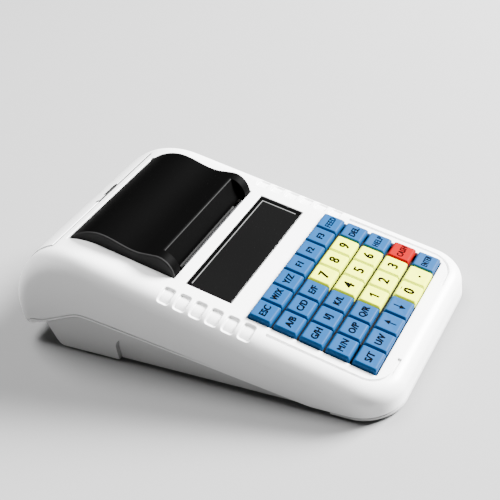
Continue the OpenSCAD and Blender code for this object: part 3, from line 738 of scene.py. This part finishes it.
# Painted sheen on the rolled ends (slot 1) and a painted highlight along the top edge of the sloping face
# (slot 2).
for f in cover.data.polygons:
    x, y, z = drawn(f.center)
    on_end = abs(x) > COVER_X - 0.95 and z > 48
    on_painted_highlight = abs(x) < CHEEK_X and y < 18.05 and z > 60.2
    f.material_index = 1 if on_end else 2 if on_painted_highlight else 0
weighted(cover)
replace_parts(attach(cover, "cover"), "printer_cover")

# ---- display ----
# A flat dark acrylic lens let into the deck. A black border is printed on its back, and a fine light line
# along two sides is a painted highlight that stands for the edge of the display's frame.

LENS_X, LENS_LOW, LENS_HIGH = 41.15, 10.5, 36.0
BORDER_X, BORDER_U, HAIRLINE = LENS_X - 3.3, LENS_HIGH - 2.7, 0.5
HAIRLINE_X, HAIRLINE_U = -39.35, 13.3


def over_deck(x, y, z):
    """Where a point lies in the deck's own measures: across, along and above."""
    local = Vector((x, y, z)) - Vector((0, DECK_Y, DECK_Z))
    return local.x, local.dot(ALONG), local.dot(UP)


def score(shape, point, across):
    """Parts the faces along a plane, so that a printed area has faces of its own."""
    everything = shape.bm.verts[:] + shape.bm.edges[:] + shape.bm.faces[:]
    place = (point - Vector((0, SHIFT, 0))) / 1000
    bmesh.ops.bisect_plane(shape.bm, geom=everything, plane_co=place, plane_no=across)


lens = Shape()
lens.solid([lens.row([deck(x, u, w) for x, u in rectangle(LENS_X, LENS_LOW, LENS_HIGH, 0.6, grow)])
            for grow, w in ((0.0, -1.8), (0.0, -0.5), (-0.05, -0.38), (-0.2, -0.3))])
for u in (BORDER_U, BORDER_U + HAIRLINE, HAIRLINE_U):
    score(lens, deck(0, u), ALONG)
for x in (HAIRLINE_X, BORDER_X, BORDER_X + HAIRLINE):
    score(lens, Vector((x, 0, 0)), RIGHT)
# Slot 1 is the painted highlight line along two sides, slot 2 the window, slot 0 the printed border and the
# back.
for f in lens.bm.faces:
    x, u, w = over_deck(*drawn(f.calc_center_median()))
    along_top = BORDER_U < u < BORDER_U + HAIRLINE and HAIRLINE_X < x < BORDER_X + HAIRLINE
    down_side = BORDER_X < x < BORDER_X + HAIRLINE and HAIRLINE_U < u < BORDER_U
    if w < -0.31:
        f.material_index = 0
    elif along_top or down_side:
        f.material_index = 1
    else:
        f.material_index = 2 if u < BORDER_U and x < BORDER_X else 0
polished = {"grain": 900.0, "spread": 0.02}
acrylic = plastic("lens_border", tone(0.0008), 0.16, bump=0.004, Specular_IOR_Level=0.16, **polished)
# painted highlight: a lighter line that stands for the lit edge of the display's frame
line = plastic("lens_painted_highlight", tone(0.08), 0.3, bump=0.002, **polished)
window = plastic("lens_window", tone(0.002), 0.18, bump=0.004, Specular_IOR_Level=0.16, **polished)
display = lens.done("display_lens_plate", acrylic, line, window)
weighted(display)
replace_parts(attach(display, "housing"), "display_lens")

# ---- keys ----
# Thirty-five moulded caps on square stems, in blue, pale yellow and red. Each has a rolled
# top edge, a faint dish for the fingertip and its legend printed on in black.

PITCH_X, PITCH_U = 13.0, 13.83
CAP_X, CAP_U, CAP_Z, STEM = 6.3, 6.1, 2.9, 2.3
DIGIT_HIGH, PAIR_HIGH, WORD_HIGH = 5.3, 3.4, 3.2
CAPITAL, LEGEND_WIDEST, STRIKE = 0.682, 8.5, 0.2


def rounded(a, b, r, n=3):
    """A rounded rectangle of half sizes a and b."""
    return rectangle(a, -b, b, r, n=n)


def dish(x, u):
    """Height of a cap's top at a place measured from its middle."""
    depth = min(CAP_X - abs(x), CAP_U - abs(u))
    return CAP_Z - 0.1 * ease((depth - 1.2) / 3.6)


def lettering(text):
    """A bold legend as thin solids round their middle: its places and its faces."""
    word = len(text) > 3
    curve = bpy.data.curves.new("lettering", "FONT")
    curve.body = text
    curve.align_x = "CENTER"
    curve.offset = 0.0 if "M" in text else 0.018 if word else 0.022
    curve.space_character = 1.16 if word else 1.08
    curve.extrude = 0.01
    curve.resolution_u = 3
    obj = placed("lettering", curve)
    mesh = bpy.data.meshes.new_from_object(obj.evaluated_get(bpy.context.evaluated_depsgraph_get()))
    bpy.data.objects.remove(obj)
    xs = [v.co.x for v in mesh.vertices]
    middle, width = (min(xs) + max(xs)) / 2, max(xs) - min(xs)
    high, share = (DIGIT_HIGH, 1.4) if len(text) == 1 else (WORD_HIGH, 0.7) if word else (PAIR_HIGH, 1.0)
    scale = high / CAPITAL
    across = min(0.88 * scale, LEGEND_WIDEST / width)
    places, faces = [], []
    for shift in (-STRIKE * share, STRIKE * share):
        faces += [tuple(k + len(places) for k in p.vertices) for p in mesh.polygons]
        for x, y, z in (v.co for v in mesh.vertices):
            places.append(((x - middle) * across + shift, (y - CAPITAL / 2) * scale, z + shift * 0.02))
    return places, faces


def sign(outline):
    """A plain sign cut to an outline, in the same form as lettering."""
    n = len(outline)
    places = [(x, y, z) for z in (-0.01, 0.01) for x, y in outline]
    faces = [tuple(range(n - 1, -1, -1)), tuple(range(n, 2 * n))]
    return places, faces + [(k, (k + 1) % n, n + (k + 1) % n, n + k) for k in range(n)]


ARROW = [(0, 3.3), (1.5, 0.1), (0.32, 0.1), (0.32, -3.3), (-0.32, -3.3), (-0.32, 0.1), (-1.5, 0.1)]
SIGNS = {
    "up": ARROW,
    "down": [(-x, -y) for x, y in ARROW],
    ".": [(x, y - 1.0) for x, y in rounded(0.75, 0.75, 0.7, 6)],
    "1": [(1.05, -2.65), (1.05, 2.65), (0.1, 2.65), (-1.3, 1.5), (-1.3, 0.4), (-0.2, 1.15), (-0.2, -2.65)],
}
# each ring of a cap as (height, distance in from the edge, corner radius)
CAP_SIDE = ((0.9, 1.1, 0.4), (-1.1, 1.1, 0.4), (-1.2, 1.0, 0.4), (-1.2, 0.1, 0.5), (-1.1, 0.0, 0.55),
            (1.5, 0.0, 0.55), (1.78, 0.04, 0.58), (2.0, 0.15, 0.62), (2.62, 0.62, 0.8),
            (2.77, 0.76, 0.8), (2.86, 0.94, 0.8), (CAP_Z, 1.2, 0.75))
blue = plastic("key_blue", (0.002, 0.034, 0.104, 1), 0.5, spread=0.05, Specular_IOR_Level=0.05)
yellow = plastic("key_yellow", (0.6, 0.68, 0.001, 1), 0.5, spread=0.05, Specular_IOR_Level=0.05)
red = plastic("key_red", (0.16, 0.0001, 0.001, 1), 0.5, spread=0.05, Specular_IOR_Level=0.015)
ink = plastic("key_ink", tone(0.0004), 0.7, spread=0.03, Specular_IOR_Level=0.01)


def key(name, label, x0, u0, paint, slot):
    """One cap with its stem and legend, about a place on the deck."""
    cap = Shape()

    def ring(outline, w):
        return cap.row([deck(x0 + x, u0 + u, w) for x, u in outline])

    rings = [ring(rounded(CAP_X - depth, CAP_U - depth, r), w) for w, depth, r in CAP_SIDE]
    for depth in (1.8, 2.5, 3.3, 4.2, 5.2):
        loop = rounded(CAP_X - depth, CAP_U - depth, 0.5)
        rings.append(cap.row([deck(x0 + x, u0 + u, dish(x, u)) for x, u in loop]))
    cap.solid(rings)
    cap.solid([ring(rounded(STEM - d, STEM - d, 0.3), w) for w, d in ((0.88, 0.0), (-5.9, 0.0), (-6.3, 0.4))])
    places, faces = sign(SIGNS[label]) if label in SIGNS else lettering(label)
    corners = cap.row([deck(x0 + x, u0 + y, dish(x, y) + 0.02 + 1.5 * z) for x, y, z in places])
    for f in faces:
        cap.face([corners[k] for k in f], 1)
    if label == "0":
        dash = [(x, 4.1 + y) for x, y in rounded(1.1, 0.22, 0.1)]
        cap.solid([ring(dash, CAP_Z + w) for w in (-0.02, 0.03)], paint=1)
    made = cap.done("cap_" + name, paint, ink)
    weighted(made)
    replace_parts(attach(made, "key_" + name), "key_" + name)


legends = ("ESC W/X Y/Z F1 F2 F3 FEED", "A/B C/D E/F 7 8 9 DEL", "G/H I/J K/L 4 5 6 HELP",
           "M/N O/P Q/R 1 2 3 CASH", "S/T U/V up down 0 . ENTER")
for r, labels in enumerate(legends):
    for c, label in enumerate(labels.split()):
        paint, slot = (yellow, "yellow_cap") if label in "0123456789." else (blue, "blue_cap")
        if label == "CASH":
            paint, slot = red, "red_cap"
        name = "point" if label == "." else label.lower().replace("/", "")
        key(name, label, (c - 3) * PITCH_X, -(r + 0.5) * PITCH_U, paint, slot)

# ---- rear panel ----
# A light grey curved strip, moulded in ABS and clipped into the recess in the back of the
# housing. It has a finger slot and a release hole.

STRIP_X, STRIP_TOP, STRIP_LOW, STRIP_R = 48.0, 72, 28, 46.5
SLOT_Y, SLOT_X, HOLE_X = 79.8, 7.25, -5.5

strip = Shape()
strip_edge = ((45.1, 0.0), (46.15, 0.0), (46.37, 0.08), (STRIP_R, 0.35))
loops = [patch(strip, r, STRIP_X, STRIP_TOP, STRIP_LOW, -depth, 26) for r, depth in strip_edge]
strip.rows(loops, closed=True)
strip.ladder(loops[0])
strip.ladder(loops[-1])
panel_grey = plastic("panel_grey", tone(0.68), 0.42, spread=0.05)
slot_shadow = plastic("slot_shadow", tone(0.01), 0.7, Specular_IOR_Level=0.1)
panel = strip.done("rear_strip", panel_grey, slot_shadow)
slots = Shape()
for cx, a, b, r in ((SLOT_X, 6.0, 1.05, 1.0), (HOLE_X, 1.2, 1.2, 1.19)):
    slots.solid([slots.row([(cx + x, SLOT_Y + y, z) for x, y in rounded(a, b, r, 6)]) for z in (50, 70)])
carve(panel, slots)
for f in panel.data.polygons:
    x, y, z = drawn(f.center)
    in_slot = HOLE_X - 1.5 < x < SLOT_X + 6.25 and abs(y - SLOT_Y) < 1.3
    below_face = RECESS_R + 0.15 < math.hypot(y - REAR_Y, z - REAR_Z) < STRIP_R - 0.05
    f.material_index = 1 if in_slot and below_face else 0
weighted(panel)
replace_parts(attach(panel, "housing"), "rear_panel")

# ---- base ----
# The lower half of the case, in white ABS painted a greyer tone than the housing as shade: a tray with an
# arched step on each side, feet and screw wells in its underside, cooling slots, and an opening for the ports
# at the back.

ARCH_R, ARCH_HIGH, ARCH_REAR, ARCH_FRONT = 8.4, 17.2, 44.4, 6.0
GROOVE_X, GROOVE_WIDE = 57.25, 0.6


def rolled(node, name, width, paints, rule=None, segments=2):
    """A mesh shaped like a drawn node, with the edges of the moulding rolled."""
    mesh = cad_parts[node].data.copy()
    mesh.materials.clear()
    for paint in paints:
        mesh.materials.append(paint)
    bm = bmesh.new()
    bm.from_mesh(mesh)
    bmesh.ops.remove_doubles(bm, verts=bm.verts, dist=2e-6)
    bmesh.ops.dissolve_limit(bm, angle_limit=math.radians(0.6), verts=bm.verts, edges=bm.edges)
    for f in bm.faces:
        f.smooth = True
        f.material_index = 0
    for e in bm.edges:
        e.smooth = True
    bm.to_mesh(mesh)
    bm.free()
    made = placed(name, mesh)
    if width > 0:
        bevel = made.modifiers.new("roll", "BEVEL")
        bevel.width = width / 1000
        bevel.segments = segments
        bevel.limit_method = "ANGLE"
        bevel.angle_limit = math.radians(28)
        bevel.use_clamp_overlap = True
        bevel.miter_outer = "MITER_ARC"
        settle(made)
    bm = bmesh.new()
    bm.from_mesh(made.data)
    bmesh.ops.dissolve_degenerate(bm, dist=1e-7, edges=bm.edges)
    for f in bm.faces:
        f.smooth = True
        if rule:
            f.material_index = rule(*drawn(f.calc_center_median()))
    bm.to_mesh(made.data)
    bm.free()
    weighted(made)
    return made


def eased(node, name, body, width, paints, rule=None, segments=2):
    """A piece shaped like a drawn node that rides on a body and takes the node's place."""
    made = rolled(node, name, width, paints, rule, segments)
    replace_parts(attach(made, body), node)


# Painted shade: the base takes a darker grey than the housing's white, for the shade it sits in under the
# housing.
base_painted_shade_white = plastic("base_painted_shade_white", tone(0.44), 0.42, grain=2200.0, bump=0.06, spread=0.05, shade=0.97)
base = rolled("base_tray", "base_shell", 0.35, [base_painted_shade_white])
# a shadow groove follows the arched step on both sides
arch = [(ARCH_REAR, 0.0)] + arc(ARCH_REAR - ARCH_R, ARCH_HIGH - ARCH_R, ARCH_R, steps(0, 90, 12))
arch += [(24.0, ARCH_HIGH), (ARCH_FRONT, ARCH_HIGH)]
groove = Shape()
for side in (1, -1):
    loops = []
    for k, (y, z) in enumerate(arch):
        ahead_y, ahead_z = heading(arch, k)
        across = GROOVE_WIDE * Vector((0, -ahead_z, ahead_y))
        inner, outer = Vector((side * GROOVE_X, y, z)), Vector((side * 62.0, y, z))
        loops.append(groove.row([outer, inner, inner + across, outer + across]))
    groove.solid(loops)
carve(base, groove)
weighted(base)
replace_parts(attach(base, "housing"), "base_tray")

# ---- feet and case screws ----
# Four round feet of black rubber pressed into wells, and cross-headed screws of plated steel
# that come up from below and hold the two halves together.


def metal(name, colour, rough, along=(1.0, 1.0, 1.0), scale=900.0):
    """Bare or plated metal: drawn or ground lines in one direction, and a slow drift of tone."""
    finish = Finish(name, Metallic=1.0)
    place = finish.place
    lines = place.node("ShaderNodeMapping", 0, None, Vector=place, Scale=along).noise(scale, 4.0)
    drift = place.noise(60.0, 3.0)
    paint = drift.mix(dimmed(colour, 0.72, 0.72, 0.74), colour)
    gloss = rough + (lines - 0.5) * 0.24 + (drift - 0.5) * 0.1
    return finish.laid(paint, gloss.clamped(), lines, 0.02, 0.0001)


foot_rubber = plastic("foot_rubber", tone(0.012), 0.72, grain=700.0, bump=0.2, spread=0.08, shade=0.7)
eased("feet", "rubber_feet", "housing", 0.45, [foot_rubber], segments=3)
zinc = metal("screw_zinc", (0.62, 0.6, 0.55, 1), 0.3)
eased("case_screws", "cross_screws", "housing", 0.12, [zinc])

# ---- hinge pin ----
# A drawn steel rod with rolled ends, which the cover turns on. It is held in the two lugs of
# the housing.

rod_steel = metal("rod_steel", (0.6, 0.6, 0.6, 1), 0.22, along=(0.05, 1.0, 1.0), scale=1600.0)
eased("hinge_pin", "hinge_rod", "housing", 0.3, [rod_steel])

# ---- paper well and printer frame ----
# Black ABS mouldings: a round-bottomed well that the roll drops into, and the frame whose two
# side plates carry the head, the motor and the gears and catch the ends of the platen.

inner_grain = {"grain": 1500.0, "spread": 0.06, "shade": 0.7}
well_black = plastic("well_black", tone(0.005), 0.5, bump=0.12, Specular_IOR_Level=0.25, **inner_grain)
eased("paper_bucket", "paper_well", "housing", 0.3, [well_black])
frame_black = plastic("frame_black", tone(0.003), 0.45, bump=0.1, Specular_IOR_Level=0.25, **inner_grain)
eased("printer_frame", "frame_moulding", "housing", 0.2, [frame_black])

# ---- print head ----
# A glazed ceramic strip with its line of heating dots, bonded to a black anodised aluminium
# heat sink that is pressed against the platen.

PLATEN_R, STRIP_THICK = 4.75, 1.28
NIP_ALONG = (PLATEN - HINGE).normalized()
NIP = PLATEN + PLATEN_R * NIP_ALONG


def head_part(x, y, z):
    return 1 if (Vector((0, y, z)) - NIP).dot(NIP_ALONG) < STRIP_THICK else 0


ceramic = plastic("head_glaze", (0.012, 0.008, 0.006, 1), 0.3, grain=1200.0, bump=0.005, spread=0.03,
                  Specular_IOR_Level=0.2)
heat_sink = metal("heat_sink", (0.035, 0.035, 0.037, 1), 0.45, along=(0.06, 1.0, 1.0))
eased("print_head", "thermal_head", "housing", 0.12, [heat_sink, ceramic], head_part)

# ---- platen ----
# A steel shaft with a ground black rubber sleeve, carried in the ears of the cover. The shaft
# has a groove near each end for its retaining ring.


def turned(name, half_profile, n, paint):
    """A turned piece on the platen's axis, the same at both ends, from (x, radius) pairs."""
    profile = [(-x, r) for x, r in half_profile] + list(reversed(half_profile))
    shape = Shape()
    slab(shape, [(x, circle(PLATEN, r, n)) for x, r in profile])
    made = shape.done(name, paint)
    weighted(made)
    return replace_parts(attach(made, "platen"), "platen_roller")


sleeve_rubber = plastic("sleeve_rubber", tone(0.003), 0.66, grain=1100.0, bump=0.16, spread=0.06, shade=0.75,
                        Specular_IOR_Level=0.1)
sleeve = ((28.8, 1.6), (28.8, 4.45), (28.72, 4.64), (28.5, PLATEN_R))
turned("platen_sleeve", sleeve, 64, sleeve_rubber)
shaft = ((41.0, 1.2), (40.7, 1.5), (38.0, 1.5), (37.9, 1.25), (37.3, 1.25), (37.2, 1.5))
turned("platen_shaft", shaft, 32, rod_steel)

# ---- gears and motor ----
# White acetal gears, a brass pinion on the shaft of the small stepping motor, and the motor's
# plated steel can with its flange.

IDLER = PLATEN + 14 * Vector((0, -NIP_ALONG.z, NIP_ALONG.y))
MOTOR = IDLER + Vector((0, *polar(12.6, 252.6)))
CAN_FLAT = 7.45

acetal = plastic("gear_acetal", (0.72, 0.69, 0.6, 1), 0.34, grain=900.0, bump=0.02, spread=0.05, shade=0.93)
eased("platen_gear", "drive_gear", "platen", 0.06, [acetal], segments=1)
eased("idler_gear", "middle_gear", "idler", 0.06, [acetal], segments=1)
brass = metal("pinion_brass", (0.78, 0.55, 0.22, 1), 0.26, along=(0.1, 1.0, 1.0))
eased("motor_pinion", "brass_pinion", "pinion", 0.05, [brass], segments=1)
can_steel = metal("can_steel", (0.55, 0.55, 0.53, 1), 0.34, along=(1.0, 0.2, 0.2))
lead_block = plastic("lead_block", tone(0.6, 0.03), 0.45)
eased("print_motor", "stepping_motor", "housing", 0.25, [can_steel, lead_block],
      lambda x, y, z: 1 if z < MOTOR.z - CAN_FLAT else 0)

# ---- tear bar ----
# A strip of blackened steel with a fine saw edge, stamped from sheet and let into the front of
# the printer frame.

blade = metal("blade_steel", (0.03, 0.03, 0.032, 1), 0.34, along=(0.04, 1.0, 1.0), scale=1400.0)
eased("tear_bar", "saw_edge", "housing", 0.0, [blade])

# ---- paper roll ----
# Thermal paper, 57 mm wide, wound on a card core. The outer end of the paper lies on the roll,
# and its layers show on both ends.

ROLL = Vector((0, 51.5, 36.0))
ROLL_R, CORE_R, BORE_R = 21.0, 7.6, 6.0
PAPER_X, CORE_X, PAPER_EDGE = 28.5, 28.3, 0.12
PAPER_STEP, TAIL_TURN = 0.28, 200


def wound_paper(name, colour):
    """Smooth white paper, with the edges of its layers as fine rings on the ends of the roll."""
    finish = Finish(name, Specular_IOR_Level=0.25)
    place = finish.place
    axis = (0.0, (ROLL.y - SHIFT) / 1000, ROLL.z / 1000)
    centred = place.node("ShaderNodeVectorMath", 0, {"operation": "SUBTRACT"}, i0=place, i1=axis)
    flat = centred.node("ShaderNodeVectorMath", 0, {"operation": "MULTIPLY"}, i0=centred, i1=(0.0, 1.0, 1.0))
    radius = flat.node("ShaderNodeVectorMath", 1, {"operation": "LENGTH"}, i0=flat)
    ring = radius.node("ShaderNodeCombineXYZ", 0, None, X=radius * 9000.0)
    layers, bands = ring.noise(1.0, 2.0), ring.noise(0.06, 2.0)
    fibre = place.noise(1500.0, 4.0)
    normal = place.node("ShaderNodeNewGeometry", 1)
    facing = normal.node("ShaderNodeSeparateXYZ", 0, None, Vector=normal)
    on_end = facing.maths("GREATER_THAN", facing.maths("ABSOLUTE", facing), 0.7)
    shade = on_end * ((layers - 0.5) * 0.7 + (bands - 0.5) * 0.5 + 0.25) + (fibre - 0.5) * 0.12
    paint = shade.clamped().mix(colour, dimmed(colour, 0.72, 0.71, 0.68))
    return finish.laid(paint, 0.62 + (fibre - 0.5) * 0.2, on_end * layers + fibre * 0.3, 0.25, 0.0001)


wound = Shape()


def wound_ring(x, r, spiral=0.0):
    """One ring of the roll, whose radius shrinks by spiral over its whole turn."""
    points = [polar(r - spiral * share, 360 * share + TAIL_TURN) for share in steps(0, 1, 120)]
    return wound.row([ROLL + Vector((x, y, z)) for y, z in points])


half_roll = [(PAPER_X - PAPER_EDGE, 0.0), (PAPER_X, PAPER_EDGE)]
whole_roll = [(-x, depth) for x, depth in reversed(half_roll)] + half_roll
rows = [wound_ring(x, ROLL_R - depth, PAPER_STEP) for x, depth in whole_roll]
wound.rows(rows)
for near, far in zip(rows, rows[1:]):
    wound.face((near[-1], near[0], far[0], far[-1]))
bore = []
for outer, side in ((rows[0], -1), (rows[-1], 1)):
    paper_rim = wound_ring(side * PAPER_X, CORE_R)
    core_rim, bore_rim = wound_ring(side * CORE_X, CORE_R), wound_ring(side * CORE_X, BORE_R)
    wound.strip(outer, paper_rim)
    wound.face((outer[-1], outer[0], paper_rim[0], paper_rim[-1]))
    wound.strip(paper_rim, core_rim)
    wound.strip(core_rim, bore_rim, paint=1)
    bore.append(bore_rim)
wound.strip(*bore, paint=1)
paper_white = wound_paper("thermal_paper", (0.72, 0.72, 0.7, 1))
card = wound_paper("core_card", (0.32, 0.24, 0.16, 1))
paper_roll = wound.done("wound_roll", paper_white, card, crease=30)
weighted(paper_roll)
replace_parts(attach(paper_roll, "roll"), "paper_roll")

# ---- display module ----
# The liquid crystal display behind the lens: a glass in a bezel folded from plated steel, on its
# own board of green laminate.

BOARD_UNDER, GLASS_UNDER, GLASS_OVER = -5.0, -2.45, -2.2
GLASS_X, GLASS_LOW, GLASS_HIGH = 36, 14, 32.5


def laminate(name, colour, track_colour):
    """Solder mask over copper: angular tracks, small round pads and a satin lacquer."""
    finish = Finish(name)
    place = finish.place
    angular = {"distance": "MANHATTAN", "feature": "F1"}
    cells = place.node("ShaderNodeTexVoronoi", 0, angular, Vector=place, Scale=260.0)
    track = cells.maths("LESS_THAN", cells.maths("FRACT", cells * 5.0), 0.4)
    dots = place.node("ShaderNodeTexVoronoi", 0, {"feature": "F1"}, Vector=place, Scale=330.0)
    pad = dots.maths("LESS_THAN", dots, 0.16)
    grain = place.noise(1800.0, 2.0)
    masked = (track * 0.8 + (grain - 0.5) * 0.3).clamped().mix(colour, track_colour)
    gloss = 0.38 - pad * 0.1 + (grain - 0.5) * 0.1
    paint = pad.mix(masked, (0.5, 0.48, 0.42, 1.0))
    return finish.laid(paint, gloss, track * 0.6 + grain * 0.2, 0.3, 0.00005)


def lcd_part(x, y, z):
    """The board below, the glass inside the bezel, and the bezel round it."""
    across, u, w = over_deck(x, y, z)
    if w < BOARD_UNDER:
        return 1
    in_bezel = abs(across) < GLASS_X and GLASS_LOW < u < GLASS_HIGH
    return 2 if in_bezel and GLASS_UNDER < w < GLASS_OVER else 0


mask_green = laminate("mask_green", (0.012, 0.07, 0.03, 1), (0.03, 0.13, 0.06, 1))
bezel_steel = metal("bezel_steel", (0.5, 0.5, 0.5, 1), 0.36, along=(0.1, 1.0, 1.0))
glass_green = plastic("lcd_glass", (0.12, 0.16, 0.08, 1), 0.1, bump=0.003, **polished)
lcd_paints = [bezel_steel, mask_green, glass_green]
eased("lcd_module", "display_module", "housing", 0.15, lcd_paints, lcd_part)

# ---- keypad parts under the deck ----
# A moulded black guide plate for the stems, a sheet of grey silicone domes that lies loose under
# it, and the board they press on, which is heat-staked to posts of the housing.

SOCKETS_UNDER = -9.85

guide_black = plastic("guide_black", tone(0.002), 0.5, bump=0.08, Specular_IOR_Level=0.15, **inner_grain)
eased("key_guide", "stem_guide", "housing", 0.15, [guide_black])
dome_rubber = plastic("dome_rubber", tone(0.16), 0.6, grain=900.0, bump=0.1, spread=0.06, shade=0.85)
eased("key_mat", "dome_sheet", "housing", 0.15, [dome_rubber])
socket_ivory = plastic("socket_ivory", (0.6, 0.55, 0.42, 1), 0.45, grain=1500.0, bump=0.06)
eased("key_board", "switch_board", "housing", 0.1, [mask_green, socket_ivory],
      lambda x, y, z: 1 if over_deck(x, y, z)[2] < SOCKETS_UNDER else 0)

# ---- main board and ports ----
# The main circuit board with its processor, memory, sockets, buzzer and capacitors, and the
# block of data sockets and power inlet that shows at the back of the base.

BOARD_TOP, CAN_OVER, CAN_X = 7.15, 14.5, -21
FRONT_ROW, REAR_ROW = (-47, -39), (-19, -11)
PORTS_FACE, PORT_XS, PORT_WIDE, PORT_LOW, PORT_HIGH = 80.2, (-10, 2), 4.05, 8.55, 11.65


def board_part(x, y, z):
    """Laminate, ivory sockets in two rows, bright cans, and black chips for the rest."""
    if z < BOARD_TOP:
        return 0
    if FRONT_ROW[0] < y < FRONT_ROW[1] or (x < REAR_ROW[0] and y > REAR_ROW[1]):
        return 2
    return 3 if x < CAN_X and z > CAN_OVER else 1


def port_part(x, y, z):
    """The two data sockets are lined with steel."""
    in_port = any(abs(x - port) < PORT_WIDE for port in PORT_XS) and PORT_LOW < z < PORT_HIGH
    return 1 if y > PORTS_FACE and in_port else 0


chip_black = plastic("chip_black", tone(0.012), 0.4, grain=2200.0, bump=0.1, spread=0.05, shade=0.8)
board_paints = [mask_green, chip_black, socket_ivory, can_steel]
eased("main_board", "logic_board", "housing", 0.12, board_paints, board_part)
eased("port_block", "port_sockets", "housing", 0.15, [chip_black, bezel_steel], port_part)

# ---- battery ----
# Two cells side by side in blue shrink film, which back up the memory. They stand at the back
# of the housing.

film = plastic("battery_film", (0.012, 0.035, 0.13, 1), 0.28, grain=140.0, bump=0.25, spread=0.06, shade=0.8)
eased("battery_pack", "wrapped_cells", "housing", 0.5, [film], segments=3)
